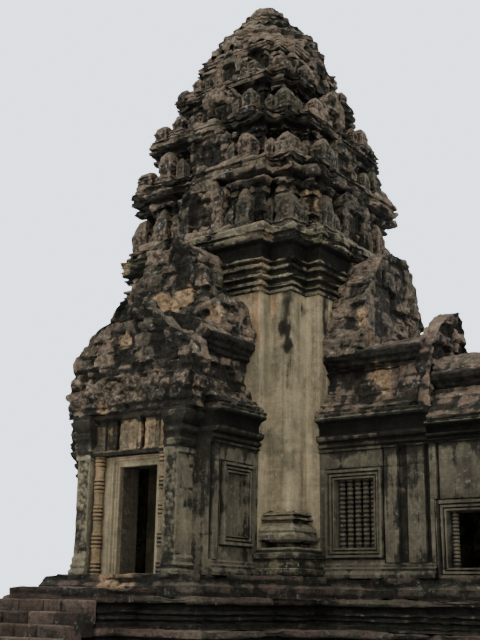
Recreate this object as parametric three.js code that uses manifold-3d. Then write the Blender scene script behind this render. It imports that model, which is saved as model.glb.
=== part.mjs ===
import * as THREE from 'three';
import { mergeVertices } from 'three/addons/utils/BufferGeometryUtils.js';
import Module from 'manifold-3d';

const wasm = await Module();
wasm.setup();

// Sandstone temple tower with three porches, an antechamber and a hall.
// Millimetres, +Z up. The origin lies on the tower's axis at the foot of the terrace.
// The hall runs along +X, and the porch with the open doorway looks along -Y.

// Gap between stones of different pieces, and how deep a pier is bonded into its wall
const JOINT = 0.3;
const BOND = 10;

// Levels
const LOWER_TERRACE_TOP = 700;
const TERRACE_TOP = 1400;
const FLOOR = 1930;
const DOOR_HEAD = 4650;
const FRAME_TOP = 4890;
const CORNICE_FOOT = 5180;
const CORNICE_TOP = 6100;
const HALL_CORNICE_TOP = 5680;
const BODY_TOP = 9500;
const MAIN_CORNICE_TOP = 11400;
const APEX = 20750;

// Plan of the tower: half sizes of the square at its corner piers and of its bays
const CORNER = 2940;
const ARM = 2210;
const BAY = 3370;
const CELLA = 1450;

// Walls, doorway and the porch in front of it
const WALL = 650;
const INSIDE = ARM - WALL;
const DOOR_HALF = 640;
const FRONT_WALL = 5395;
const FRONT_WALL_THICK = 595;
const FRAME_FACE = 5659;
const PIER_FACE = 6017;
const PIER_INNER = 1260;
const PIER_OUTER = 1690;
const COLONNETTE_RADIUS = 145;
const FRONT_DEPTH = PIER_FACE - FRONT_WALL;

// Antechamber and hall east of the tower
const ANTECHAMBER_END = 6540;
const HALL_END = 11500;
const HALL_FRONT = HALL_END + FRONT_DEPTH;

// Roofs: foot on the wall's cornice, foot of the attic wall, top of the attic cornice, and ridge
const PORCH_ROOF = { foot: CORNICE_TOP + JOINT, atticFoot: 6750, atticTop: 8100, ridge: 8740 };
const ANTECHAMBER_ROOF = { foot: CORNICE_TOP + JOINT, atticFoot: 6700, atticTop: 7850, ridge: 8200 };
const HALL_ROOF = { foot: HALL_CORNICE_TOP + JOINT, atticFoot: 6100, atticTop: 7000, ridge: 7700 };
const BROKEN_PEDIMENT_FACE = 6100;

// Terrace: how far each tier stands out from the walls
const PLINTH_OUT = 350;
const TIER_OUT = 950;
const LOWER_TIER_OUT = 1700;
const CORNER_LEDGE = 800;

// Hollow of the tower: top of the square cella, and half sizes of the shaft that narrows above it
const CELLA_TOP = 6400;
const BODY_SHAFT = 1100;
const CORNICE_SHAFT = 1000;

// How far a cut runs past the face that it leaves through
const CUT_OVERRUN = 10;

// Stone colours from the photograph
const PALE_STONE = stone(0x8f8a72, 0.9);
const GREY_STONE = stone(0x6f6a5a, 0.92);
const DARK_STONE = stone(0x4d443c, 0.95);
const PURPLE_STONE = stone(0x5a4c48, 0.94);
const WARM_STONE = stone(0x9a7f5c, 0.9);

function stone(color, roughness) {
  return new THREE.MeshStandardMaterial({ color, roughness, metalness: 0 });
}

// Solids

function toSolid(geometry) {
  const plain = geometry.index ? geometry.toNonIndexed() : geometry.clone();
  plain.deleteAttribute('normal');
  plain.deleteAttribute('uv');
  const merged = mergeVertices(plain, 0.001);
  const vertProperties = new Float32Array(merged.attributes.position.array);
  const triVerts = new Uint32Array(merged.index.array);
  return new wasm.Manifold(new wasm.Mesh({ numProp: 3, vertProperties, triVerts }));
}

function toGeometry(solid) {
  const mesh = solid.getMesh();
  const geometry = new THREE.BufferGeometry();
  geometry.setAttribute('position', new THREE.BufferAttribute(mesh.vertProperties, 3));
  geometry.setIndex(new THREE.BufferAttribute(mesh.triVerts, 1));
  geometry.computeVertexNormals();
  return geometry;
}

function join(solids) {
  return solids.reduce((whole, next) => whole.add(next));
}

function block(x0, x1, y0, y1, z0, z1) {
  const geometry = new THREE.BoxGeometry(x1 - x0, y1 - y0, z1 - z0);
  geometry.translate((x0 + x1) / 2, (y0 + y1) / 2, (z0 + z1) / 2);
  return toSolid(geometry);
}

function outlineShape(points) {
  return new THREE.Shape(points.map(([x, y]) => new THREE.Vector2(x, y)));
}

// A plan outline raised from z0 to z1
function prism(points, z0, z1) {
  const geometry = new THREE.ExtrudeGeometry(outlineShape(points), { depth: z1 - z0, bevelEnabled: false });
  geometry.translate(0, 0, z0);
  return toSolid(geometry);
}

// A front outline, x and z, carried back from y0 to y1
function slab(points, y0, y1) {
  const geometry = new THREE.ExtrudeGeometry(outlineShape(points), { depth: y1 - y0, bevelEnabled: false });
  geometry.rotateX(Math.PI / 2);
  geometry.translate(0, y1, 0);
  return toSolid(geometry);
}

// Right half of a front outline, mirrored to the left
function mirrored(half) {
  const left = half.filter(([x]) => x > 0).map(([x, z]) => [-x, z]).reverse();
  return [...half, ...left];
}

// Redented plan: rectangles about the axis, given by half sizes from the widest in x to the widest in y
function redented(rects, grow) {
  const corner = [];
  rects.forEach(([hx, hy], i) => {
    if (i > 0) {
      corner.push([hx + grow, rects[i - 1][1] + grow]);
    }
    corner.push([hx + grow, hy + grow]);
  });
  const flip = (points, sx, sy) => points.map(([x, y]) => [sx * x, sy * y]);
  return [
    ...corner,
    ...flip(corner, -1, 1).reverse(),
    ...flip(corner, -1, -1),
    ...flip(corner, 1, -1).reverse(),
  ];
}

// Courses of stone over one plan, each [foot, top, how far it stands out]
function courses(rects, list) {
  return join(list.map(([z0, z1, out]) => prism(redented(rects, out), z0, z1)));
}

function add(group, name, solid, material) {
  const mesh = new THREE.Mesh(toGeometry(solid), material);
  mesh.name = name;
  group.add(mesh);
}

// Terrace, plinth and steps

// The temple's ground plan, grown by the distance out, with the long arm on the east side
function footprint(out) {
  const reach = PIER_FACE + out;
  const corner = CORNER + Math.max(out, CORNER_LEDGE);
  const points = redented([[reach, ARM + out], [corner, corner], [ARM + out, reach]], 0);
  return points.map(([x, y]) => [x === reach ? HALL_FRONT + out : x, y]);
}

// Mouldings of a terrace tier: foot and top as shares of its height, and how far each stands back
const TERRACE_MOULDINGS = [[0, 0.22, 0], [0.22, 0.45, 90], [0.45, 0.58, 30], [0.58, 0.8, 110], [0.8, 1, 0]];

function terraceTier(z0, z1, out) {
  const height = z1 - z0;
  return join(TERRACE_MOULDINGS.map(([low, high, back]) => {
    return prism(footprint(out - back), z0 + height * low, z0 + height * high);
  }));
}

const PLINTH_STEP = { top: TERRACE_TOP + 330, back: 60 };

function plinth() {
  return join([
    prism(footprint(PLINTH_OUT), TERRACE_TOP + JOINT, PLINTH_STEP.top),
    prism(footprint(PLINTH_OUT - PLINTH_STEP.back), PLINTH_STEP.top, FLOOR),
  ]);
}

// Landing and steps in front of a door, in the frame of an arm that points along -Y
const STEP_HALF = 1450;
const STEPS = 6;
const STEP_RISE = 1580 / STEPS;
const STEP_RUN = 330;
const LANDING_DEPTH = 1900;
const WIDER_THAN_TERRACE = 5000;

function stepFlight(pierFace) {
  const top = pierFace + PLINTH_OUT + 30;
  const points = [[-top, 0], [-top, STEP_RISE * STEPS]];
  let y = -top - LANDING_DEPTH;
  for (let level = STEPS; level > 0; level -= 1) {
    points.push([y, STEP_RISE * level], [y, STEP_RISE * (level - 1)]);
    y -= STEP_RUN;
  }
  const geometry = new THREE.ExtrudeGeometry(outlineShape(points), { depth: 2 * STEP_HALF, bevelEnabled: false });
  geometry.rotateY(Math.PI / 2);
  geometry.rotateX(Math.PI / 2);
  geometry.translate(-STEP_HALF, 0, 0);
  const tiers = [[LOWER_TIER_OUT, LOWER_TERRACE_TOP], [TIER_OUT, TERRACE_TOP]];
  const cut = tiers.map(([out, z]) => {
    const [half, front] = [WIDER_THAN_TERRACE, -pierFace - out - JOINT];
    return block(-half, half, front, 0, -CUT_OVERRUN, z + JOINT);
  });
  return toSolid(geometry).subtract(join(cut));
}

// Walls of an arm, in the frame of an arm that points along -Y; side is 1 for its right wall, -1 for its left

const BASE_COURSES = [[FLOOR + JOINT, 2060, 130], [2060, 2180, 80], [2180, 2260, 40]];

// Courses of a wall cornice: foot and top as shares of its height, and how far each stands out
const CORNICE_COURSES = [[0, 0.1, 60], [0.1, 0.42, 170], [0.42, 0.72, 100], [0.72, 1, 260]];

function corniceCourses(top) {
  const height = top - CORNICE_FOOT;
  return CORNICE_COURSES.map(([low, high, out]) => [CORNICE_FOOT + height * low, CORNICE_FOOT + height * high, out]);
}

// Window surrounds: width of the frame, its height over the opening, how far it stands out, and depth of a blind one
const WINDOW_FRAME = { side: 240, over: 280, out: 60, blindDepth: 110 };

function sided(side, x0, x1, y0, y1, z0, z1) {
  return side > 0 ? block(x0, x1, y0, y1, z0, z1) : block(-x1, -x0, y0, y1, z0, z1);
}

// Side wall from y = -far to y = -near, with its base, cornice and windows [far, near, sill, head, open]
function sideWall(side, far, near, top, windows) {
  const parts = [sided(side, INSIDE, ARM, -far, -near, FLOOR + JOINT, top)];
  [...BASE_COURSES, ...corniceCourses(top)].forEach(([z0, z1, out]) => {
    parts.push(sided(side, INSIDE, ARM + out, -far, -near, z0, z1));
  });
  const frame = WINDOW_FRAME;
  const face = ARM + frame.out;
  windows.forEach(([y0, y1, sill, head]) => {
    parts.push(sided(side, INSIDE, face, -y0 - frame.side, -y1 + frame.side, sill - frame.side, head + frame.over));
  });
  const cuts = windows.map(([y0, y1, sill, head, open]) => {
    const back = open ? INSIDE - CUT_OVERRUN : face - frame.blindDepth;
    return sided(side, back, face + CUT_OVERRUN, -y0, -y1, sill, head);
  });
  return join(parts).subtract(join(cuts));
}

const PIER_BASE = [[FLOOR + JOINT, 2110, 110], [2110, 2260, 60], [2260, 2390, 30]];
const CAPITAL_TOP = 5950;
const PIER_CAPITAL = [
  [4930, 5050, 60],
  [5050, 5170, 130],
  [5170, 5400, 90],
  [5400, 5560, 200],
  [5560, CAPITAL_TOP, 340],
];

// Share of a pier moulding's projection that it has on the front as well
const FRONT_PROJECTION = 0.35;

// Half of a front wall with its pier, beside the doorway
function frontHalf(side, wallFace) {
  const pierFace = wallFace + FRONT_DEPTH;
  const parts = [
    sided(side, DOOR_HALF, INSIDE + BOND, -wallFace, -wallFace + FRONT_WALL_THICK, FLOOR + JOINT, DOOR_HEAD - JOINT),
    sided(side, PIER_INNER, PIER_OUTER, -pierFace, -wallFace + BOND, FLOOR + JOINT, CAPITAL_TOP),
  ];
  [...PIER_BASE, ...PIER_CAPITAL].forEach(([z0, z1, out]) => {
    const front = -pierFace - FRONT_PROJECTION * out;
    parts.push(sided(side, PIER_INNER, PIER_OUTER + out, front, -wallFace + BOND, z0, z1));
  });
  return join(parts);
}

// Heights of the colonnette's waists and middle ring, as shares, and how much thinner it is there
const COLONNETTE_WAISTS = [[0.25, 35], [0.5, 0], [0.75, 35]];

// Turned colonnette beside the door frame
function colonnette(x, y) {
  const foot = FLOOR + JOINT;
  const points = [new THREE.Vector2(0, foot), new THREE.Vector2(COLONNETTE_RADIUS, foot)];
  const length = FRAME_TOP - foot;
  COLONNETTE_WAISTS.forEach(([share, waist]) => {
    points.push(new THREE.Vector2(COLONNETTE_RADIUS - waist, foot + length * share));
  });
  points.push(new THREE.Vector2(COLONNETTE_RADIUS, FRAME_TOP), new THREE.Vector2(0, FRAME_TOP));
  const geometry = new THREE.LatheGeometry(points, 8);
  geometry.rotateX(Math.PI / 2);
  geometry.translate(x, y, 0);
  return toSolid(geometry);
}

// Step round the doorway in the face of its frame: width, height over the head, and depth
const FRAME_STEP = { side: 130, over: 110, depth: 60 };
const COLONNETTE_SET_IN = 12;

function doorFrame(wallFace) {
  const face = wallFace + FRAME_FACE - FRONT_WALL;
  const outer = PIER_INNER - JOINT;
  const [front, low] = [-face - CUT_OVERRUN, FLOOR - CUT_OVERRUN];
  const half = DOOR_HALF + FRAME_STEP.side;
  const frame = block(-outer, outer, -face, -wallFace - JOINT, FLOOR + JOINT, FRAME_TOP)
    .subtract(block(-DOOR_HALF, DOOR_HALF, front, -wallFace + CUT_OVERRUN, low, DOOR_HEAD))
    .subtract(block(-half, half, front, -face + FRAME_STEP.depth, low, DOOR_HEAD + FRAME_STEP.over));
  const x = outer - COLONNETTE_RADIUS - COLONNETTE_SET_IN;
  const y = -face - COLONNETTE_RADIUS + COLONNETTE_SET_IN;
  return join([frame, colonnette(x, y), colonnette(-x, y)]);
}

// Carved lintel: how far it stands back from the piers, and foot of the band over it, which stands out
const LINTEL_BACK = 90;
const LINTEL_BAND = { foot: 5810, out: 60 };

// Wall over the doorway with the carved lintel in front of it
function lintel(wallFace, wallTop) {
  const half = INSIDE - JOINT;
  const outer = PIER_INNER - JOINT;
  const face = wallFace + FRONT_DEPTH;
  return join([
    block(-half, half, -wallFace + BOND + JOINT, -wallFace + FRONT_WALL_THICK, DOOR_HEAD, wallTop),
    block(-outer, outer, -face + LINTEL_BACK, -wallFace + 2 * BOND, FRAME_TOP + JOINT, LINTEL_BAND.foot + BOND),
    block(-outer, outer, -face - LINTEL_BAND.out, -wallFace - JOINT, LINTEL_BAND.foot, CAPITAL_TOP),
  ]);
}

// Right half of a front pediment's outline: half width, and height as a share of its rise
const PEDIMENT_HALF = [[2120, 0], [2120, 0.443], [1720, 0.601], [1310, 0.747], [750, 0.889], [340, 1]];

// Front pediment that stands on the pier capitals and the lintel
function pediment(wallFace, foot, peak) {
  const outline = mirrored(PEDIMENT_HALF.map(([x, share]) => [x, foot + share * (peak - foot)]));
  return slab(outline, -wallFace - FRONT_DEPTH - LINTEL_BAND.out, -wallFace - JOINT);
}

// What is left of the pediment between antechamber and hall: its south half stands, its north half has fallen
const BROKEN_PEDIMENT = [
  [-2100, CORNICE_TOP + JOINT],
  [2100, CORNICE_TOP + JOINT],
  [2050, 7250],
  [1500, 7650],
  [350, 7820],
  [0, 8830],
  [-300, 8950],
  [-740, 8760],
  [-1260, 8390],
  [-1900, 7750],
  [-2100, 7250],
];

function brokenPediment() {
  return slab(BROKEN_PEDIMENT, -ANTECHAMBER_END, -BROKEN_PEDIMENT_FACE + BOND);
}

// Back of a vault over an attic cornice, right half: half width and share of the rise
const VAULT = [[2060, 0], [1560, 0.55], [760, 0.9], [0, 1]];

function vaultBack({ atticTop, ridge }) {
  return VAULT.map(([x, share]) => [x, atticTop + (ridge - atticTop) * share]);
}

// Section of a roof below its vault, right half: half width and height over the roof's or the attic cornice's foot
const ROOF_STEP = [[2380, 0], [2380, 170], [2120, 330]];
const ATTIC_HALF = 1800;
const ATTIC_LEDGE = 160;
const ATTIC_CORNICE_HEIGHT = 560;
const ATTIC_CORNICE = [[ATTIC_HALF, 0], [1950, 120], [1950, 260], [2060, 300]];
const ROOF_HOLLOW = { foot: 1280, wall: 400, top: 300, cover: 300 };

// Roof of an arm: stepped foot, attic wall, attic cornice and corbelled vault over a hollow
function roof(far, near, measures) {
  const { foot, atticFoot, atticTop } = measures;
  const shoulder = atticTop - ATTIC_CORNICE_HEIGHT;
  const outer = [
    ...ROOF_STEP.map(([x, z]) => [x, foot + z]),
    [ATTIC_HALF + ATTIC_LEDGE, atticFoot],
    [ATTIC_HALF, atticFoot],
    ...ATTIC_CORNICE.map(([x, z]) => [x, shoulder + z]),
    ...vaultBack(measures),
  ];
  const hollowFoot = [ROOF_HOLLOW.foot, foot];
  const springing = [ROOF_HOLLOW.foot, foot + ROOF_HOLLOW.wall];
  const inner = [hollowFoot, springing, [ROOF_HOLLOW.top, atticTop - ROOF_HOLLOW.cover]];
  const hollow = [...inner.map(([x, z]) => [-x, z]), ...inner.slice().reverse()];
  return slab([...mirrored(outer), ...hollow], -far, -near);
}

// Radii of an antefix at its top and foot, as shares of its width
const ANTEFIX_RADII = [0.25, 0.7];

// Wedge-like upright stone at a ledge, from its middle point on plan
function antefix(x, y, z, width, height) {
  const [top, foot] = ANTEFIX_RADII.map((share) => share * width);
  const geometry = new THREE.CylinderGeometry(top, foot, height, 4, 1);
  geometry.rotateY(Math.PI / 4);
  geometry.rotateX(Math.PI / 2);
  geometry.translate(x, y, z + height / 2);
  return toSolid(geometry);
}

// Tower

const TOWER_PLAN = [[BAY, ARM], [CORNER, CORNER], [ARM, BAY]];

// Stepped base of a corner pier: foot, top and how far each course stands out
const CORNER_BASE = [
  [FLOOR + JOINT, 2560, 660],
  [2560, 2700, 330],
  [2700, 2960, 210],
  [2960, 3180, 290],
  [3180, 3440, 200],
];
const CORNER_BASE_INSET = 135;

// Corner mass of the tower below the door heads, with the stepped base of its corner pier
function towerCorner(sx, sy) {
  const points = [
    [DOOR_HALF, CELLA],
    [CELLA, CELLA],
    [CELLA, DOOR_HALF],
    [BAY, DOOR_HALF],
    [BAY, ARM],
    [CORNER, ARM],
    [CORNER, CORNER],
    [ARM, CORNER],
    [ARM, BAY],
    [DOOR_HALF, BAY],
  ];
  const placed = points.map(([x, y]) => [sx * x, sy * y]);
  const outline = sx * sy > 0 ? placed.reverse() : placed;
  const parts = [prism(outline, FLOOR + JOINT, DOOR_HEAD - JOINT)];
  CORNER_BASE.forEach(([z0, z1, out]) => {
    const inner = ARM + CORNER_BASE_INSET;
    const outer = CORNER + out;
    const xs = [sx * inner, sx * outer].sort((a, b) => a - b);
    const ys = [sy * inner, sy * outer].sort((a, b) => a - b);
    parts.push(block(...xs, ...ys, z0, z1));
  });
  return join(parts);
}

// Fronton that rises against one side of the tower, from the vault of its arm
const FRONTON_FACE = 4480;
const FRONTON_TOP = [[1900, 9000], [1560, 9850], [900, 10600], [340, 11150]];

function fronton(measures, clear) {
  const [[, eaves], ...back] = vaultBack(measures);
  const shoulder = FRONTON_TOP[0][0];
  const share = (VAULT[0][0] - shoulder) / (VAULT[0][0] - VAULT[1][0]);
  const foot = [...back].reverse().map(([x, z]) => [x, z + JOINT]);
  const half = [...foot, [shoulder, eaves + (back[0][1] - eaves) * share + JOINT], ...FRONTON_TOP];
  const grown = half.map(([x, z]) => [x > 0 ? x + clear : 0, z + clear]);
  return slab(mirrored(grown), -FRONTON_FACE - clear, -BAY + 2 * BOND);
}

function turned(solid, quarterTurns) {
  return solid.rotate([0, 0, 90 * quarterTurns]);
}

// The four frontons, from the south side and on towards the east
function frontons(clear) {
  const below = [PORCH_ROOF, ANTECHAMBER_ROOF, PORCH_ROOF, PORCH_ROOF];
  return below.map((measures, turn) => turned(fronton(measures, clear), turn));
}

// Square hollow on the axis of the tower, run past both of its ends
function squareShaft(half, z0, z1) {
  return block(-half, half, -half, half, z0 - CUT_OVERRUN, z1 + CUT_OVERRUN);
}

function towerBody() {
  const shaft = block(-CELLA, CELLA, -CELLA, CELLA, DOOR_HEAD - CUT_OVERRUN, CELLA_TOP);
  const upperShaft = squareShaft(BODY_SHAFT, CELLA_TOP, BODY_TOP);
  const body = courses(TOWER_PLAN, [[DOOR_HEAD, BODY_TOP, 0]]);
  return join([body, ...frontons(0)]).subtract(shaft.add(upperShaft));
}

// Courses of the main cornice: foot, top and how far each stands out
const MAIN_COURSES = [
  [BODY_TOP + JOINT, 9700, 90],
  [9700, 9860, 150],
  [9860, 10350, 80],
  [10350, 10850, 120],
  [10850, MAIN_CORNICE_TOP, 300],
];

function mainCornice() {
  const shaft = squareShaft(CORNICE_SHAFT, BODY_TOP, MAIN_CORNICE_TOP);
  return courses(TOWER_PLAN, MAIN_COURSES).subtract(join([shaft, ...frontons(JOINT)]));
}

// Upper tiers: foot, top, half size at the corner of the body, half size of the shaft, how far the base and the
// cornice stand out, and the antefixes on the base's ledge: how far from the axis, how wide and how tall
const TIERS = [
  { foot: 11400, top: 13600, body: 2640, shaft: 850, base: 320, cornice: 430, place: 2660, width: 560, tall: 1350 },
  { foot: 13600, top: 15300, body: 2320, shaft: 650, base: 300, cornice: 370, place: 2600, width: 560, tall: 950 },
  { foot: 15300, top: 16900, body: 1900, shaft: 480, base: 440, cornice: 240, place: 2320, width: 480, tall: 780 },
  { foot: 16900, top: 18250, body: 1580, shaft: 300, base: 300, cornice: 120, place: 1860, width: 400, tall: 560 },
];

function tierPlan(body) {
  const bay = body * (BAY / CORNER);
  const arm = body * (ARM / CORNER);
  return [[bay, arm], [body, body], [arm, bay]];
}

// Top of a tier's base and foot of its cornice, as shares of its height
const TIER_LEDGE = 0.14;
const TIER_CORNICE = 0.7;

// Antefixes beside a niche: their size against the corner ones, and how far along the side they stand
const SIDE_ANTEFIX = 0.84;
const SIDE_ANTEFIX_PLACE = 0.58;

// Pedimented niche on each side: shares of the body's half size and of the height
const NICHE = [[0.3, TIER_LEDGE], [0.3, 0.62], [0.2, 0.86], [0.04, 0.98]];
const NICHE_OUT = 0.145;

function tier({ foot, top, body, shaft, base, cornice, place, width, tall }) {
  const height = top - foot;
  const at = (share) => foot + height * share;
  const parts = [courses(tierPlan(body), [
    [foot + JOINT, at(TIER_LEDGE), base],
    [at(TIER_LEDGE), at(TIER_CORNICE), 0],
    [at(TIER_CORNICE), top, cornice],
  ])];
  const bay = body * (BAY / CORNER);
  const [along, reach] = [place * SIDE_ANTEFIX_PLACE, place * (BAY / CORNER)];
  const spots = [
    [place, place, width, tall],
    [reach, along, width * SIDE_ANTEFIX, tall * SIDE_ANTEFIX],
    [along, reach, width * SIDE_ANTEFIX, tall * SIDE_ANTEFIX],
  ];
  const niche = NICHE.map(([x, share]) => [body * x, at(share) - (share > TIER_LEDGE ? 0 : BOND)]);
  for (let turn = 0; turn < 4; turn += 1) {
    spots.forEach(([x, y, wide, high]) => parts.push(turned(antefix(x, y, foot + JOINT, wide, high), turn)));
    parts.push(turned(slab(mirrored(niche), -bay - body * NICHE_OUT, -bay + BOND), turn));
  }
  return join(parts).subtract(squareShaft(shaft, foot, top));
}

// Lotus crown, three bowls of petals under a bud: radius and height over its foot
const CROWN_PROFILE = [
  [0, 0],
  [1900, 0],
  [2060, 200],
  [2040, 480],
  [1840, 620],
  [1860, 820],
  [1680, 980],
  [1500, 1150],
  [1460, 1300],
  [1260, 1430],
  [1160, 1580],
  [980, 1700],
  [870, 1850],
  [830, 2030],
  [620, 2200],
  [400, 2370],
];
const CROWN_SEGMENTS = 24;

function crown() {
  const foot = TIERS[TIERS.length - 1].top + JOINT;
  const points = CROWN_PROFILE.map(([r, z]) => new THREE.Vector2(r, foot + z));
  points.push(new THREE.Vector2(0, APEX));
  const geometry = new THREE.LatheGeometry(points, CROWN_SEGMENTS);
  geometry.rotateX(Math.PI / 2);
  return toSolid(geometry);
}

// Assembly

const temple = new THREE.Group();

add(temple, 'terrace_lower', terraceTier(0, LOWER_TERRACE_TOP, LOWER_TIER_OUT), PURPLE_STONE);
add(temple, 'terrace_upper', terraceTier(LOWER_TERRACE_TOP + JOINT, TERRACE_TOP, TIER_OUT), PURPLE_STONE);
add(temple, 'plinth', plinth(), PURPLE_STONE);

const CORNERS = { southeast: [1, -1], southwest: [-1, -1], northeast: [1, 1], northwest: [-1, 1] };
Object.entries(CORNERS).forEach(([name, [sx, sy]]) => {
  add(temple, `tower_corner_${name}`, towerCorner(sx, sy), PALE_STONE);
});
add(temple, 'tower_body', towerBody(), PALE_STONE);
add(temple, 'main_cornice', mainCornice(), GREY_STONE);
TIERS.forEach((measures, i) => add(temple, `tower_tier_${i + 1}`, tier(measures), DARK_STONE));
add(temple, 'lotus_crown', crown(), DARK_STONE);

const SIDES = { right: 1, left: -1 };

function addFront(arm, name, wallFace, wallTop, peak) {
  add(arm, `${name}_door_frame`, doorFrame(wallFace), PALE_STONE);
  add(arm, `${name}_lintel`, lintel(wallFace, wallTop), WARM_STONE);
  add(arm, `${name}_pediment`, pediment(wallFace, CAPITAL_TOP + JOINT, peak), DARK_STONE);
}

const PORCH_PEAK = 9060;
const HALL_PEAK = 8500;

const PORCH_WINDOW = [4700, 3870, 2910, 4440, false];
const PORCHES = { south: 0, west: -1, north: 2 };

Object.entries(PORCHES).forEach(([facing, quarterTurns]) => {
  const arm = new THREE.Group();
  arm.rotation.z = (quarterTurns * Math.PI) / 2;
  const name = `porch_${facing}`;
  Object.entries(SIDES).forEach(([label, side]) => {
    const wall = sideWall(side, FRONT_WALL, BAY + JOINT, CORNICE_TOP, [PORCH_WINDOW]);
    add(arm, `${name}_${label}_wall`, join([wall, frontHalf(side, FRONT_WALL)]), GREY_STONE);
  });
  addFront(arm, name, FRONT_WALL, CORNICE_TOP, PORCH_PEAK);
  add(arm, `${name}_roof`, roof(FRONT_WALL - BOND - JOINT, BAY + JOINT, PORCH_ROOF), DARK_STONE);
  add(arm, `${name}_steps`, stepFlight(PIER_FACE), PURPLE_STONE);
  temple.add(arm);
});

const ANTECHAMBER_WINDOW = [4980, 3830, 2670, 4400, true];
const HALL_WINDOWS = [[8190, 6940, 2170, 3500, true], [10540, 9290, 2170, 3500, true]];

const eastArm = new THREE.Group();
eastArm.rotation.z = Math.PI / 2;
Object.entries(SIDES).forEach(([label, side]) => {
  const room = sideWall(side, ANTECHAMBER_END, BAY + JOINT, CORNICE_TOP, [ANTECHAMBER_WINDOW]);
  add(eastArm, `antechamber_${label}_wall`, room, GREY_STONE);
  const hall = sideWall(side, HALL_END, ANTECHAMBER_END + JOINT, HALL_CORNICE_TOP, HALL_WINDOWS);
  add(eastArm, `hall_${label}_wall`, join([hall, frontHalf(side, HALL_END)]), GREY_STONE);
});
const antechamberVault = roof(BROKEN_PEDIMENT_FACE, BAY + JOINT, ANTECHAMBER_ROOF);
add(eastArm, 'antechamber_roof', join([antechamberVault, brokenPediment()]), DARK_STONE);
add(eastArm, 'hall_roof', roof(HALL_END - BOND - JOINT, ANTECHAMBER_END + JOINT, HALL_ROOF), DARK_STONE);
addFront(eastArm, 'hall', HALL_END, HALL_CORNICE_TOP, HALL_PEAK);
add(eastArm, 'hall_steps', stepFlight(HALL_FRONT), PURPLE_STONE);
temple.add(eastArm);

export default temple;
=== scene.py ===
"""Weathered sandstone temple: masonry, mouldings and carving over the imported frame."""

import math
from typing import NamedTuple

import bmesh
import bpy
import numpy as np
from bpy.props import FloatProperty, FloatVectorProperty, PointerProperty
from bpy.types import Operator, Panel, PropertyGroup
from mathutils import Matrix, Vector


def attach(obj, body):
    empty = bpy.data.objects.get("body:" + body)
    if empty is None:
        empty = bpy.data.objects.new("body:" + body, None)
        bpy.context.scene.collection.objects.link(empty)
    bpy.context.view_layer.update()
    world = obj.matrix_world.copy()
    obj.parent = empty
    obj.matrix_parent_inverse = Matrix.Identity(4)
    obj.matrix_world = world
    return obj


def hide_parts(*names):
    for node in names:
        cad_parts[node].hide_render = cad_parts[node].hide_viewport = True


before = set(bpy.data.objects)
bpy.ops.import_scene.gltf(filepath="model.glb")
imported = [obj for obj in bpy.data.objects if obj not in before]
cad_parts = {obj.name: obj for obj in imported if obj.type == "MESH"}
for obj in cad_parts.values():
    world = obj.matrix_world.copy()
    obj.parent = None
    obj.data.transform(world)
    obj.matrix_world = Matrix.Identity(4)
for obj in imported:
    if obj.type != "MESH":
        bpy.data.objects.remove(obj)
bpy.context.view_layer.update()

bl_info = {
    "name": "Sandstone temple",
    "version": (1, 0, 0),
    "blender": (4, 5, 0),
    "location": "View3D > Sidebar > Temple",
    "description": "Builds the weathered stonework of a temple tower with porches and a hall",
    "category": "Add Mesh",
}

# Levels of the building, in metres. The gap keeps faces of different pieces out of one plane
GAP = 0.0003
TERRACE_TOP = 0.7
UPPER_TERRACE_TOP = 1.4
FLOOR = 1.93
WALL_FOOT = 1.9303
DOOR_HEAD = 4.65
FRAME_TOP = 4.89
CAPITAL_TOP = 5.95
CORNICE_FOOT = 5.18
CORNICE_TOP = 6.1
ROOF_FOOT = 6.1003
HALL_CORNICE_TOP = 5.68
HALL_ROOF_FOOT = 5.6803
BODY_TOP = 9.5
CORNICE_END = 11.3997
CROWN_FOOT = 18.2503

# Half sizes of the ground plan, from the tower's axis
CORNER = 2.94
ARM = 2.21
BAY = 3.37
INSIDE = 1.56
DOOR_HALF = 0.64
FRONT_WALL = 5.395
FRONT_DEPTH = 0.622
FRONTON_FACE = 4.48
PIER_INNER = 1.26
PIER_OUTER = 1.69
SET_BACK = 0.0103
DOOR_DEPTH = 0.264
WALL_DEPTH = 0.595
ANTECHAMBER_END = 6.54
HALL_END = 11.5

# Upper tiers: foot, top, half size of the body at its corner, half size of the shaft inside, how far the base and the
# cornice stand out, and the place, width and height of the corner antefix
TIERS = (
    (11.4, 13.6, 2.64, 0.85, 0.32, 0.43, 2.66, 0.56, 1.35),
    (13.6, 15.3, 2.32, 0.65, 0.3, 0.37, 2.6, 0.56, 0.95),
    (15.3, 16.9, 1.9, 0.48, 0.44, 0.24, 2.32, 0.48, 0.78),
    (16.9, 18.25, 1.58, 0.3, 0.3, 0.12, 1.86, 0.4, 0.56),
)

# A closed ring further in than this lies inside the building: the longest part there, and the parts of the way in
HIDDEN_DEPTH = -0.4
HIDDEN_STEP = 0.8
HIDDEN_PARTS = 5

# Half the width of a moulding's edge on a plate, and where the blocks of walls, roofs and box sides start to count
EDGE = 0.006
WALL_START, ROOF_START, SIDE_START = 30, 20, 40.3

# Points nearer than this are one, faces flatter than this are joined, and edges over this angle look sharp
MERGE, FLAT, SHARP = 0.0004, 0.0005, math.radians(30)

# Quarter turns that bring an arm drawn along -Y to its side of the tower
TURNS = {"south": 0, "east": 1, "north": 2, "west": 3}
RIGHT, LEFT = 1, -1


# Random numbers and noise


def chance(*keys):
    """Random numbers from 0 to 1, picked by whole numbers: each key is mixed in by multiply and shift."""
    keys = [np.asarray(key).astype(np.int64).astype(np.uint32) for key in keys]
    value = np.full(np.broadcast(*keys).shape, 2166136261, np.uint32)
    for key in keys:
        value = (value ^ key) * np.uint32(16777619)
        value ^= value >> np.uint32(15)
        value = value * np.uint32(2246822519)
        value ^= value >> np.uint32(13)
    return value / 4294967296.0


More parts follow.
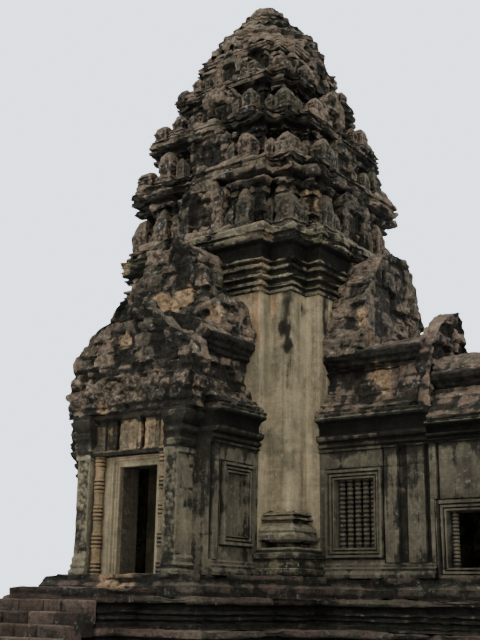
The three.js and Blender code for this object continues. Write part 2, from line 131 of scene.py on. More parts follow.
def noise(points, size, seed=0, octaves=3):
    """Value noise from -1 to 1: random numbers on a cubic lattice blended smoothly, each octave half as large."""
    total, weight = 0.0, 0.0
    for octave in range(octaves):
        place = points * (2**octave / size) + 7.31 * (seed + octave)
        cell = np.floor(place)
        part = place - cell
        part = part * part * (3 - 2 * part)
        value = 0.0
        for dx, dy, dz in np.ndindex(2, 2, 2):
            share = np.abs(np.stack([1 - dx, 1 - dy, 1 - dz]) - part).prod(axis=-1)
            value = value + share * chance(cell[..., 0] + dx, cell[..., 1] + dy, cell[..., 2] + dz, seed)
        total = total + (2 * value - 1) * 0.5**octave
        weight += 0.5**octave
    return total / weight


def masonry(u, v, course, length, seed):
    """Blocks in courses of uneven height: a course is found by v, a block by u, and both joints are jittered.

    Returns the distance to the nearest joint, three random numbers of the block and its slope at each point: the
    place inside the block, from -0.5 to 0.5 each way, times a random number."""
    low = np.floor(v.min() / course) - 1
    count = int(np.ceil(v.max() / course) - low) + 3
    number = np.arange(count) + low
    edges = (number + 0.36 * (chance(number, seed) - 0.5)) * course
    row = np.clip(np.searchsorted(edges, v, side="right") - 1, 0, count - 2)
    across = np.minimum(v - edges[row], edges[row + 1] - v)
    place = u / (length * (0.8 + 0.4 * chance(row, seed, 3))) + chance(row, seed, 5) * 9

    def joint(n):
        return n + 0.4 * (chance(n, row, seed) - 0.5)

    cell = np.floor(place)
    cell = np.where(place < joint(cell), cell - 1, cell)
    cell = np.where(place >= joint(cell + 1), cell + 1, cell)
    along = np.minimum(place - joint(cell), joint(cell + 1) - place) * length
    numbers = [chance(cell, row, seed + k) for k in (11, 12, 13)]
    tilt = [2 * chance(cell, row, seed + k) - 1 for k in (14, 15)]
    slope = (place - cell - 0.5) * tilt[0] + ((v - edges[row]) / (edges[row + 1] - edges[row]) - 0.5) * tilt[1]
    return np.minimum(across, along), numbers, slope


def smooth(low, high, value):
    """Smooth step from 0 at low to 1 at high."""
    share = np.clip((value - low) / (high - low), 0, 1)
    return share * share * (3 - 2 * share)


def belt(low, full, fall, high, value):
    """Smooth step up between the first two places and down between the last two."""
    return smooth(low, full, value) * (1 - smooth(fall, high, value))


def bell(value, width):
    """Bell curve: e to the power of minus the square of the value over the width."""
    return np.exp(-((value / width) ** 2))


def spot(points, centre, radius):
    """Soft ball: 1 at its centre and 0 at its radius, with a ragged edge."""
    away = np.linalg.norm(points - np.array(centre), axis=-1) / radius
    return 1 - smooth(0.45, 1.0, away + 0.35 * noise(points, 0.3, 5, 2))


def spots(points, rows):
    """Sum of soft balls, each row giving x, y, z, radius and strength."""
    return sum(strength * spot(points, centre, radius) for *centre, radius, strength in rows)


class Finish(NamedTuple):
    """How a stone surface is laid and worn, in metres: block sizes, steps, slopes and joints of the blocks, erosion."""

    course: float = 0.42
    length: float = 0.8
    step: float = 0.008
    joint: float = 0.008
    wave: float = 0.02
    grain: float = 0.008
    loss: float = 0.0
    bite: float = 0.05
    wander: float = 0.05
    layers: float = 0.0
    slope: float = 0.0
    chips: float = 0.0


SMOOTH = Finish()
MOULDED = Finish(0.5, 0.6, 0.02, 0.015, 0.03, 0.02, loss=0.2, bite=0.07, wander=0.1, layers=0.015, chips=0.02)
ROUGH = Finish(0.34, 0.5, 0.05, 0.014, 0.05, 0.05, 0.25, 0.12, 0.3, layers=0.04, slope=0.06, chips=0.06)
RUBBLE = Finish(0.4, 0.62, 0.09, 0.022, 0.09, 0.07, 0.28, 0.14, 0.5, layers=0.05, slope=0.08, chips=0.08)
PLATFORM = Finish(0.36, 0.85, 0.03, 0.022, 0.035, 0.025, loss=0.2, bite=0.06, wander=0.15, layers=0.02, chips=0.03)
STUMPS = Finish(0.7, 0.4, 0.02, 0.01, 0.03, 0.02, loss=0.15, bite=0.04, chips=0.02)


# Surfaces on grids


def swapped(rows):
    """Pairs the other way round, such as out and height for height and out."""
    return [(b, a) for a, b in rows]


def angles(count):
    """Evenly spaced angles of a full turn, as a column."""
    return np.linspace(-math.pi, math.pi, count, endpoint=False)[:, None]


def spun(points, angle):
    """Points turned about the upright axis by any angle."""
    c, s = math.cos(angle), math.sin(angle)
    return points @ np.array([[c, s, 0], [-s, c, 0], [0, 0, 1]])


def holed(inside):
    """Which cells of a grid stay: those that don't have all four corners inside."""
    return ~(inside[1:, 1:] & inside[:-1, 1:] & inside[1:, :-1] & inside[:-1, :-1])


def box_plan(x0, y0, x1, y1):
    """Corners of a box, anticlockwise."""
    return [(x0, y0), (x1, y0), (x1, y1), (x0, y1)]


def turn(points, quarters):
    """Quarter turns about the tower's axis: x, y becomes -y, x each time."""
    for _ in range(quarters % 4):
        points = np.stack([-points[..., 1], points[..., 0], points[..., 2]], axis=-1)
    return points


def axis(breaks, step):
    """Places along a line: close pairs on either side of each break, and even parts no longer than step between."""
    breaks = sorted(set(round(b, 4) for b in breaks))
    places = []
    for low, high in zip(breaks, breaks[1:]):
        low, high = low + EDGE, high - EDGE
        parts = max(1, math.ceil((high - low) / step))
        places.extend(np.linspace(low, high, parts + 1))
    return np.array([breaks[0], *places, breaks[-1]])


def walk(corners, step):
    """Closed path along straight sides, each cut into equal parts; the mitre vector blends from corner to corner.

    Gives the points, the mitre vectors and the length run, going round anticlockwise with the outside on the right."""
    corners = np.array(corners, float)
    ends = np.roll(corners, -1, axis=0)
    lengths = np.linalg.norm(ends - corners, axis=1)
    along = (ends - corners) / lengths[:, None]
    normal = np.stack([along[:, 1], -along[:, 0]], axis=1)
    before = np.roll(normal, 1, axis=0)
    mitre = (normal + before) / (1 + (normal * before).sum(axis=1))[:, None]
    after = np.roll(mitre, -1, axis=0)
    place, push, run, total = [], [], [], 0.0
    for i, length in enumerate(lengths):
        share = np.linspace(0, 1, max(1, math.ceil(length / step)) + 1)[:-1, None]
        place.append(corners[i] + (ends[i] - corners[i]) * share)
        push.append(mitre[i] + (after[i] - mitre[i]) * share)
        run.append(total + length * share[:, 0])
        total += length
    return np.vstack(place), np.vstack(push), np.concatenate(run)


def section(profile, step, hidden=None):
    """Profile of out and height with its corners kept and its long runs cut into equal parts.

    Runs that go further in than the hidden depth get only a few parts, the shortest at the outer end."""
    profile = np.array(profile, float)
    parts = [profile[:1]]
    for start, end in zip(profile, profile[1:]):
        inside = [hidden is not None and out < hidden for out in (start[0], end[0])]
        longest = HIDDEN_STEP if all(inside) else step
        count = max(1, math.ceil(np.linalg.norm(end - start) / longest))
        if any(inside) and not all(inside):
            count = HIDDEN_PARTS
        share = np.arange(1, count + 1) / count
        if inside == [False, True]:
            share = share**2
        elif inside == [True, False]:
            share = 1 - (1 - share) ** 2
        parts.append(start + (end - start) * share[:, None])
    return np.vstack(parts)


def normals(points, around, up):
    """Outward directions of a grid: the cross product of the steps along it and up it."""

    def steps(a, ax, wrap):
        if wrap:
            return np.roll(a, -1, ax) - np.roll(a, 1, ax)
        return np.gradient(a, axis=ax)

    cross = np.cross(steps(points, 0, around), steps(points, 1, up))
    return cross / np.maximum(np.linalg.norm(cross, axis=-1, keepdims=True), 1e-9)


class Patch:
    """Grid of points with what its stone looks like: tone of each block, dark crust with painted shade, fresh break and
    carving.
    """

    def __init__(self, points, u=None, v=None, around=False, up=False, keep=None, back=None, caps=False):
        self.points = points
        self.u = u if u is not None else points[..., 0]
        self.v = v if v is not None else points[..., 2]
        self.around = around
        self.up = up
        self.keep = keep
        self.back = back
        self.caps = caps
        self.wear = np.zeros(points.shape[:2] + (4,))
        self.wear[..., 0] = 0.5

    def weather(self, finish, seed=0, mask=1.0, out=0.0):
        """Lays blocks and weathers them: a step for each block, a round at each joint, waves, grain and lost pieces,
        with painted shade where the surface sinks and a painted highlight where it stands out.
        """
        worn = temple_sizes().erosion
        way = normals(self.points, self.around, self.up)
        sway = finish.wander * finish.course
        u = self.u + sway * noise(self.points, 0.7, seed + 21, 2)
        v = self.v + sway * noise(self.points, 0.9, seed + 22, 2)
        gap, (tone, height, luck), slope = masonry(u, v, finish.course, finish.length, seed)
        shift = out + (height - 0.5) * finish.step + slope * finish.slope - finish.joint * bell(gap, 0.03)
        shift += finish.wave * noise(self.points, 0.9, seed) + finish.grain * noise(self.points, 0.22, seed + 3)
        shift += finish.layers * noise(self.points * (0.5, 0.5, 3.2), 0.5, seed + 9)
        if finish.chips:
            shift += finish.chips * noise(self.points, 0.13, seed + 5, 2)
        lost = (luck < finish.loss) * smooth(-0.1, 0.5, noise(self.points, 0.4, seed + 7) + 0.3)
        shift -= finish.bite * lost
        self.points = self.points + way * (shift * mask * worn)[..., None]
        # Painted shade where the surface sinks below its plane and painted highlight where it stands out
        self.wear[..., 1] += np.clip(-(shift - out) * 4.0, -0.18, 0.45)
        self.wear[..., 0] = 0.5 + 0.5 * (tone - 0.5)
        self.wear[..., 1] += 0.36 * bell(gap, 0.03) * min(1.0, finish.joint / 0.02)
        return self

    def stain_and_shade(self, crust_and_shade=0.0, fresh=0.0, carved=0.0):
        """Adds dark crust with painted shade, fresh break and carving, each a number or an array over the grid."""
        self.wear[..., 1] += crust_and_shade
        self.wear[..., 2] = np.maximum(self.wear[..., 2], fresh)
        self.wear[..., 3] = np.maximum(self.wear[..., 3], carved)
        return self

    def eroded(self, depth, size, seed, mask=1.0):
        """Wide hollows where the stone has worn away, with crust and painted shade in them."""
        share = smooth(0.02, 0.4, noise(self.points, size, seed)) * mask
        way = normals(self.points, self.around, self.up) * (1, 1, 0.3)
        self.points = self.points - way * (depth * share)[..., None]
        return self.stain_and_shade(crust_and_shade=0.2 * share)

    def turned(self, quarters):
        self.points = turn(self.points, quarters)
        if self.back is not None:
            self.back = turn(self.back, quarters)
        return self

    def mirrored(self):
        """The same patch on the other side of the arm: x is negated and the grid runs the other way."""
        flip = (-1, 1, 1)
        keep = None if self.keep is None else self.keep[::-1]
        back = None if self.back is None else self.back[::-1] * flip
        made = Patch(self.points[::-1] * flip, -self.u[::-1], self.v[::-1], self.around, self.up, keep, back, self.caps)
        made.wear = self.wear[::-1].copy()
        return made

    def mesh(self):
        """Vertices, faces, face-corner UVs, and wear with painted shade. A kept grid with a back is a closed plate with
        its rims.
        """
        n, m = self.points.shape[:2]
        number = np.arange(n * m).reshape(n, m)
        i, j = n if self.around else n - 1, m if self.up else m - 1
        a = number[:i, :j]
        b = np.roll(number, -1, 0)[:i, :j]
        c = np.roll(np.roll(number, -1, 0), -1, 1)[:i, :j]
        d = np.roll(number, -1, 1)[:i, :j]
        faces = np.stack([a, b, c, d], axis=-1)
        u, v = self.u, self.v
        if self.around:
            u = np.concatenate([u, u[-1:] + (u[-1:] - u[-2:-1])])
            v = np.concatenate([v, v[:1]])
        if self.up:
            u = np.concatenate([u, u[:, :1]], axis=1)
            v = np.concatenate([v, v[:, -1:]], axis=1)
        uv = np.stack([u, v], axis=-1)
        corners = np.stack([uv[:i, :j], uv[1 : i + 1, :j], uv[1 : i + 1, 1 : j + 1], uv[:i, 1 : j + 1]], axis=2)
        points, wear = self.points.reshape(-1, 3), self.wear.reshape(-1, 4)
        keep = np.ones((i, j), bool) if self.keep is None else self.keep
        front = faces[keep]
        loose = corners[keep]
        if self.back is not None:
            total = n * m
            rims = [front[:, ::-1] + total]
            marks = [loose[:, ::-1]]
            held = np.pad(keep, 1)
            for (di, dj), (p, q) in {(-1, 0): (3, 0), (1, 0): (1, 2), (0, -1): (0, 1), (0, 1): (2, 3)}.items():
                edge = keep & ~held[1 + di : 1 + di + i, 1 + dj : 1 + dj + j]
                quad, mark = faces[edge], corners[edge]
                rims.append(np.stack([quad[:, q], quad[:, p], quad[:, p] + total, quad[:, q] + total], axis=1))
                marks.append(np.stack([mark[:, q], mark[:, p], mark[:, p], mark[:, q]], axis=1))
            points = np.vstack([points, self.back.reshape(-1, 3)])
            wear = np.vstack([wear, wear])
            front = np.vstack([front, *rims])
            loose = np.vstack([loose, *marks])
        closing = [number[::-1, 0], number[:, -1]] if self.caps else []
        return points, front, loose, wear, closing


def build(name, patches, kind, replaces=(), quarter=0):
    """One object of all the patches, turned to its side of the tower, with doubles merged, riding on the only body."""
    verts, faces, marks, wear_and_shade_rows, caps, total = [], [], [], [], [], 0
    for patch in patches:
        points, quads, corners, wear, ends = patch.turned(quarter).mesh()
        verts.append(points)
        faces.append(quads + total)
        marks.append(corners.reshape(-1, 2))
        wear_and_shade_rows.append(wear)
        caps.extend(end + total for end in ends)
        total += len(points)
    mesh = bpy.data.meshes.new(name)
    rows = np.vstack(faces).tolist() + [end.tolist() for end in caps]
    mesh.from_pydata(np.vstack(verts), [], rows)
    layer = mesh.uv_layers.new(name="wall")
    flat = np.vstack(marks)
    spare = len(mesh.loops) - len(flat)
    layer.data.foreach_set("uv", np.vstack([flat, np.zeros((spare, 2))]).ravel())
    mesh.attributes.new("wear", "FLOAT_COLOR", "POINT").data.foreach_set("color", np.vstack(wear_and_shade_rows).ravel())
    shape = bmesh.new()
    shape.from_mesh(mesh)
    bmesh.ops.remove_doubles(shape, verts=shape.verts, dist=MERGE)
    # Quads of a dead flat face, such as the inside of a wall, are joined into one
    bmesh.ops.dissolve_limit(shape, angle_limit=FLAT, verts=shape.verts, edges=shape.edges)
    shape.to_mesh(mesh)
    shape.free()
    mesh.shade_smooth()
    mesh.set_sharp_from_angle(angle=SHARP)
    mesh.materials.append(stone(kind))
    piece = bpy.data.objects.new(name, mesh)
    bpy.context.scene.collection.objects.link(piece)
    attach(piece, "root")
    if replaces:
        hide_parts(*replaces)


def ring(corners, profile, step, rise, loop=False, caps=False):
    """Moulding carried round a plan: a path point plus its mitre vector times the profile's out, at its height."""
    place, push, run = walk(corners, step)
    out, z = section(profile, rise, HIDDEN_DEPTH if loop else None).T
    if loop:
        out, z = out[:-1], z[:-1]
    points = np.empty((len(place), len(z), 3))
    points[..., :2] = place[:, None] + push[:, None] * out[None, :, None]
    points[..., 2] = z
    u = np.broadcast_to(run[:, None], points.shape[:2])
    return Patch(points, u, around=True, up=loop, caps=caps)


def loaf(outline, front, back, step, rise):
    """Upright mass whose plan is a box: at each height its sides follow the outline, which gives height, left, right.

    A path round a unit box is stretched to the outline's width and to the depth from front to back."""
    outline = np.array(outline, float)
    z = section(outline[:, [0, 0]], rise * 1.41)[:, 0]
    left, right = np.interp(z, outline[:, 0], outline[:, 1]), np.interp(z, outline[:, 0], outline[:, 2])
    width, depth = (right - left).max(), back - front
    place, _, _ = walk(box_plan(0, 0, width, depth), step)
    share = place / (width, depth)
    points = np.empty((len(place), len(z), 3))
    points[..., 0] = left + share[:, :1] * (right - left)
    points[..., 1] = front + share[:, 1:] * depth
    points[..., 2] = z
    side = (share[:, 0] < 0.001) | (share[:, 0] > 0.999)
    u = np.where(side[:, None], points[..., 1] + SIDE_START, points[..., 0])
    return Patch(points, u, around=True, caps=True)


def slab(left, right, low, high, front, back, step, rise):
    """Plain upright box from left to right, low to high and front to back."""
    return loaf([(low, left, right), (high, left, right)], front, back, step, rise)


def lathe(x, y, radius, z, around, caps=False):
    """Turned form about an upright line: cosine and sine of the angle times the radius at each height."""
    a = angles(around)
    points = np.stack(np.broadcast_arrays(x + np.cos(a) * radius, y + np.sin(a) * radius, z), axis=-1)
    return Patch(points, around=True, caps=caps)


def vault(profile, near, far, step, rise):
    """Roof section of half width and height, carried along the arm, and drawn in to one point at each end."""
    run = section(profile, rise)
    y = np.linspace(-far, -near, max(2, math.ceil((far - near) / step)))
    y = np.concatenate([y[:1], y, y[-1:]])
    points = np.empty((len(y), len(run), 3))
    points[..., 0] = run[:, 0]
    points[..., 1] = y[:, None]
    points[..., 2] = run[:, 1]
    points[[0, -1], :, 0] = 0
    points[[0, -1], :, 2] = run[0, 1]
    side = np.sign(run[:, 0] + 1e-6)
    return Patch(points, points[..., 1] + ROOF_START, np.broadcast_to(run[:, 1] + 5 * side, points.shape[:2]), up=True)


def boulder(centre, size, seed, around, rows, square, angle=0.0):
    """Worn block: a superellipsoid whose sines and cosines are raised to a small power, shaken by noise."""
    a = angles(around)
    b = np.linspace(-math.pi / 2, math.pi / 2, rows)

    def power(value):
        return np.sign(value) * np.abs(value) ** square

    flat = power(np.cos(b))
    points = np.stack(np.broadcast_arrays(power(np.cos(a)) * flat, power(np.sin(a)) * flat, power(np.sin(b))), axis=-1)
    points = points * (np.array(size) / 2)
    rough = noise(points + seed * 3.7, 0.35, seed) * 0.06 * min(size)
    points = points * (1 + rough[..., None] / np.maximum(np.linalg.norm(points, axis=-1, keepdims=True), 1e-6))
    points[:, 0] = points[:1, 0]
    points[:, -1] = points[:1, -1]
    patch = Patch(spun(points, angle) + centre, around=True)
    patch.wear[..., 0] = chance(seed, 77)
    return patch


# Outline of a ledge stone: share of the height and share of the width
ANTEFIX = [
    (0, 1.2), (0.06, 1.24), (0.08, 1.08), (0.12, 1.06), (0.14, 1.16), (0.18, 1.14), (0.2, 0.94), (0.24, 0.87),
    (0.3, 0.84), (0.38, 0.85), (0.46, 0.88), (0.53, 0.94), (0.57, 0.92), (0.64, 0.84), (0.72, 0.74), (0.8, 0.6),
    (0.87, 0.46), (0.94, 0.28), (1.0, 0.03),
]


def antefix(centre, angle, width, depth, height, seed):
    """Upright ledge stone: a square whose width follows a stepped profile up to a pointed head.

    Each of its four sides has a panel cut back between a frame and a head, with a worn figure left in the middle."""
    lean = chance(np.arange(6), seed) - 0.5
    t, wide = np.array(ANTEFIX).T
    wide = wide * (1 + 0.16 * (chance(np.arange(len(t)), seed) - 0.5))
    across = np.linspace(-1, 1, 8)[:-1]
    ways = np.array([(1, 0), (0, 1), (-1, 0), (0, -1)])
    side = np.concatenate([np.array((-d[1], d[0])) * across[:, None] + d for d in ways])
    share = np.tile(across, 4)[:, None]
    panel = (np.abs(share) < 0.7) & (t > 0.22) & (t < 0.7)
    figure = bell(share, 0.3) * (0.7 + 0.3 * np.cos((t - 0.52) * 26))
    cut = panel * (0.13 - 0.16 * figure)
    x = side[:, :1] * (wide - cut * np.abs(side[:, :1])) * width / 2 + lean[0] * 0.12 * width * t
    y = side[:, 1:] * (0.3 + 0.7 * wide - cut * np.abs(side[:, 1:])) * depth / 2
    points = np.stack(np.broadcast_arrays(x, y, t * height * (1 + 0.2 * lean[1])), axis=-1)
    shake = [noise(points + seed, width * 0.45, seed + k, 2) for k in (1, 2, 3)]
    points = spun(points + 0.1 * width * np.stack(shake, -1), angle)
    points[:, -1] = points[:, -1].mean(axis=0)
    under = np.broadcast_to(points[:, 0].mean(axis=0), points[:, :1].shape)
    patch = Patch(np.concatenate([under, points], axis=1) + centre, around=True)
    patch.wear[..., 0] = chance(seed, 31)
    # Painted shade in the grooves of its outline and in the cut-back panels, darker where the cut is deeper
    patch.wear[:, 1:, 1] = 0.35 * grooves(ANTEFIX, t) + 1.4 * cut - 0.05
    patch.wear[:, 1:, 3] = 0.5 + 0.5 * panel
    return patch


def redented(rects):
    """Outline of a stepped cross, anticlockwise: one quarter is given, and the others are its mirror pictures."""
    quarter = []
    for (x, y), (x2, _) in zip(rects, rects[1:]):
        quarter += [(x, y), (x2, y)]
    east = [*quarter, rects[-1]]
    north = [(-x, y) for x, y in reversed(east)]
    west = [(-x, -y) for x, y in east]
    south = [(x, -y) for x, y in reversed(east)]
    return east + north + west + south


# Materials


class Socket:
    """Output of a shader node. Operators on it, also with a number on either side, add Math nodes."""

    def __init__(self, graph, link):
        self.graph = graph
        self.link = link

    def math(self, operation, *values):
        return self.graph.node("ShaderNodeMath", {"operation": operation}, dict(enumerate(values)))

    def __add__(self, other):
        return self.math("ADD", self, other)

    def __sub__(self, other):
        return self.math("SUBTRACT", self, other)

    def __rsub__(self, other):
        return self.math("SUBTRACT", other, self)

    def __mul__(self, other):
        return self.math("MULTIPLY", self, other)

    __radd__ = __add__
    __rmul__ = __mul__

    def step(self, low, high):
        """Smooth step from 0 at low to 1 at high."""
        values = {"Value": self, "From Min": low, "From Max": high}
        return self.graph.node("ShaderNodeMapRange", {"interpolation_type": "SMOOTHSTEP"}, values)

    def top(self, other):
        return self.math("MAXIMUM", self, other)


class Graph:
    """Node tree of one stone finish."""

    def __init__(self, name):
        self.material = bpy.data.materials.new(name)
        self.material.use_nodes = True
        self.tree = self.material.node_tree
        self.tree.nodes.clear()

    def node(self, kind, settings=None, values=None, output=0):
        """Adds a node, makes its settings first and then its socket values or links, and gives one output."""
        made = self.tree.nodes.new(kind)
        for name, value in (settings or {}).items():
            setattr(made, name, value)
        for name, value in (values or {}).items():
            socket = made.inputs[name]
            if isinstance(value, Socket):
                self.tree.links.new(value.link, socket)
            else:
                plain = socket.type == "VECTOR" and len(value) == 4
                socket.default_value = value[:3] if plain else value
        return Socket(self, made.outputs[output])

    def texture(self, place, scale, detail, roughness):
        values = {"Vector": place, "Scale": scale, "Detail": detail, "Roughness": roughness}
        return self.node("ShaderNodeTexNoise", {}, values)

    def mix(self, share, first, second):
        values = {"Factor": share, 6: first, 7: second}
        return self.node("ShaderNodeMix", {"data_type": "RGBA"}, values, output=2)

    def scale(self, colour, factor):
        return self.node("ShaderNodeVectorMath", {"operation": "SCALE"}, {0: colour, "Scale": factor})

    def stretch(self, place, scale):
        return self.node("ShaderNodeMapping", {}, {"Vector": place, "Scale": scale})

    def surface(self, values):
        """Puts the shader with these values on the material's output."""
        shader = self.node("ShaderNodeBsdfPrincipled", {}, values)
        out = self.tree.nodes.new("ShaderNodeOutputMaterial")
        self.tree.links.new(shader.link, out.inputs["Surface"])
        return self.material


def rgba(colour, share=1.0):
    return (*[c * share for c in colour], 1.0)


# Kinds of stone: slot, two colours, then crust with painted shade, streaks, lichen, joints, relief, layering, grit
# and, on the body alone, how softly the crust and painted shade end
KINDS = {
    "ashlar": ("pale_stone", "pale", "olive", 0.13, 0.8, 0.15, 0.3, 0.3, 0.15, 0.4, 0.62),
    "wall": ("grey_stone", "wall", "dark", 0.2, 0.9, 0.2, 0.3, 0.4, 0.2, 0.5),
    "moulded": ("grey_stone", "olive", "wall", 0.25, 0.4, 0.5, 0.0, 0.6, 0.7, 0.8),
    "tower": ("dark_stone", "brown", "dark", 0.33, 0.25, 0.4, 0.0, 0.8, 0.6, 0.8),
    "rubble": ("dark_stone", "brown", "dark", 0.34, 0.3, 0.4, 0.0, 0.9, 0.6, 1.0),
    "slabs": ("dark_stone", "brown", "purple", 0.33, 0.3, 0.4, 0.0, 0.8, 0.5, 1.0),
    "post": ("grey_stone", "olive", "wall", 0.16, 0.7, 0.2, 0.1, 0.5, 0.2, 0.6),
    "baluster": ("grey_stone", "wall", "dark", 0.2, 0.1, 0.2, 0.0, 0.4, 0.2, 0.6),
    "platform": ("purple_stone", "purple", "dark", 0.46, 0.3, 0.25, 0.1, 0.8, 0.6, 0.9),
    "steps": ("purple_stone", "red", "purple", 0.4, 0.3, 0.25, 0.0, 0.9, 0.7, 0.9),
    "carved": ("warm_stone", "wall", "warm", 0.4, 0.5, 0.2, 0.0, 0.7, 0.3, 0.7),
    "turned": ("warm_stone", "warm", "wall", 0.12, 0.2, 0.1, 0.0, 0.5, 0.3, 0.7),
}


def sandstone(name, base, second, crust_and_shade_share, streaks, lichen, joints, relief, layering, grit, soft=0.26):
    """Sandstone finish.

    Two stone colours are mixed by broad noise and by each block's tone, with fresh breaks among them. Over them come
    dark crust, which gathers in joints, on ledges and in runs down the face, painted shade where the grid marks it and
    on faces turned down, pale lichen spots and moss on the ledges. Faces turned up are painted lighter, and the carved
    pattern is painted darker where it sinks.
    The bump adds pits, grain, tight joints and a carved pattern where the surface is marked as carved."""
    look = bpy.context.scene.temple_colours
    g = Graph(name)
    place = g.node("ShaderNodeTexCoord", output=3)
    wear = g.node("ShaderNodeAttribute", {"attribute_name": "wear"})
    # Channels of the attribute: tone, crust with painted shade, fresh break, and carving
    tone, stain_and_shade, fresh = (g.node("ShaderNodeSeparateColor", {}, {"Color": wear}, output=i) for i in range(3))
    carved = g.node("ShaderNodeAttribute", {"attribute_name": "wear"}, output=3)
    normal = g.node("ShaderNodeNewGeometry", output=1)
    facing = g.node("ShaderNodeSeparateXYZ", {}, {"Vector": normal}, output=2)
    wall = g.node("ShaderNodeUVMap", {"uv_map": "wall"})
    broad = g.texture(place, 0.45, 6, 0.62)
    middle = g.texture(place, 2.0, 7, 0.68)
    coarse = g.texture(place, 6.5, 6, 0.72)
    fine = g.texture(place, 19.0, 5, 0.75)
    layers = g.texture(g.stretch(place, (1.6, 1.6, 9.0)), 1.0, 6, 0.7)
    runs = g.texture(g.stretch(place, (6.0, 6.0, 0.3)), 1.0, 6, 0.62)
    bands = g.texture(g.stretch(place, (2.6, 2.6, 0.13)), 1.0, 4, 0.55)
    cells = {"Vector": place, "Scale": 8.0, "Smoothness": 0.4}
    scroll = g.node("ShaderNodeTexVoronoi", {"feature": "SMOOTH_F1"}, cells)
    brick = {"Vector": wall, "Scale": 1.0, "Mortar Size": 0.005, "Mortar Smooth": 0.4, "Bias": 0.0}
    brick.update({"Brick Width": 0.86, "Row Height": 0.43, "Color1": (0.35,) * 3 + (1,), "Color2": (0.65,) * 3 + (1,)})
    blocks = g.node("ShaderNodeTexBrick", {"offset": 0.43, "squash": 1.0}, brick)
    joint = g.node("ShaderNodeTexBrick", {"offset": 0.43, "squash": 1.0}, brick, output=1)
    colour = g.mix((broad * 0.6 + middle * 0.4 + (tone - 0.5) * 0.35).step(0.38, 0.62), rgba(base), rgba(second))
    breaks = (fresh * 1.5 + (coarse - 0.5) * 1.5 + (middle - 0.5) * 0.8 - 0.4).step(0.0, 0.5)
    colour = g.mix(breaks, colour, g.mix(middle.step(0.35, 0.65), rgba(look.fresh), rgba(look.fresh, 0.5)))
    grains = ((coarse - 0.5) * 2.6 + (fine - 0.5) * 1.8) * grit
    light = 1.0 + (tone - 0.5) * 0.5 + (blocks - 0.5) * (0.8 * joints) + grains
    light = light + (layers - 0.5) * (2.4 * layering)
    light = light + (runs - 0.5) * (1.2 * streaks) + (bands - 0.5) * (2.4 * streaks)
    # Faces turned up are painted lighter, as light from above, and the carved pattern is painted darker where it sinks,
    # as its shade
    light = light + facing * 0.12 - carved * scroll.step(0.2, 0.75) * 0.7
    colour = g.scale(colour, light.top(0.15))
    # Where the crust colour goes: crust in noise, layers and runs, the grid's crust and painted shade, and painted
    # shade on faces turned down
    gathered_crust_and_shade = (broad - 0.5) * 0.7 + (middle - 0.5) * 1.1 + (coarse - 0.5) * (0.9 * grit)
    gathered_crust_and_shade = gathered_crust_and_shade + (layers - 0.5) * (1.2 * layering)
    gathered_crust_and_shade = gathered_crust_and_shade + (runs - 0.5) * (1.0 * streaks) + (bands - 0.5) * (1.9 * streaks) + stain_and_shade - facing * 0.16
    crust_and_shade = (gathered_crust_and_shade - fresh * 0.6 + (crust_and_shade_share - 0.35)).step(0.0, soft)
    film = (coarse.step(0.35, 0.7) * 1.6 + 0.8) * (1 - stain_and_shade.step(0.5, 1.1) * 0.75)
    colour = g.mix(crust_and_shade * 0.94, colour, g.scale(rgba(look.crust_and_shade), film))
    pale = coarse.step(0.56, 0.63) * middle.step(0.44, 0.6) * (1 - stain_and_shade.step(0.2, 0.5)) * lichen
    colour = g.mix(pale, colour, rgba(look.lichen))
    moss = facing.step(0.35, 0.9) * middle.step(0.5, 0.7) * 0.3
    colour = g.mix(moss, colour, rgba(look.moss))
    colour = g.mix(joint * joints * 0.75, colour, rgba(look.crust_and_shade, 0.8))
    height = (coarse * 0.6 + middle * 0.5) * grit + fine * 0.25 + layers * (0.5 * layering) - joint * (0.2 * joints)
    height = height - crust_and_shade * 0.08 - carved * scroll * 0.9
    bump = g.node("ShaderNodeBump", {}, {"Strength": relief, "Distance": 0.12, "Height": height})
    return g.surface({"Base Color": colour, "Roughness": 1 - fine * 0.12, "Normal": bump, "Specular IOR Level": 0.1})


def stone(kind):
    """The finish of a kind of stone, made once."""
    if kind not in bpy.data.materials:
        look = bpy.context.scene.temple_colours
        _, base, second, *amounts = KINDS[kind]
        sandstone(kind, getattr(look, base), getattr(look, second), *amounts)
    return bpy.data.materials[kind]


# Sizes and colours that a user would change


def length(name, text, value):
    return FloatProperty(name=name, description=text, default=value, unit="LENGTH", subtype="DISTANCE")


class TempleSizes(PropertyGroup):
    """Sizes of the stonework and of the view."""

    erosion: FloatProperty(name="Erosion", description="How strongly the stone is worn", default=1.0, min=0.0, max=2.0)
    baluster: length("Baluster", "Diameter of a window baluster", 0.175)
    colonnette: length("Colonnette", "Radius of a door colonnette", 0.15)
    lens: FloatProperty(name="Lens", description="Focal length of the camera in millimetres", default=57.147)
    eye: length("Eye height", "Camera height over the floor", 1.35)


def colour_of(name, text, value):
    return FloatVectorProperty(name=name, description=text, subtype="COLOR", size=3, min=0.0, max=1.0, default=value)


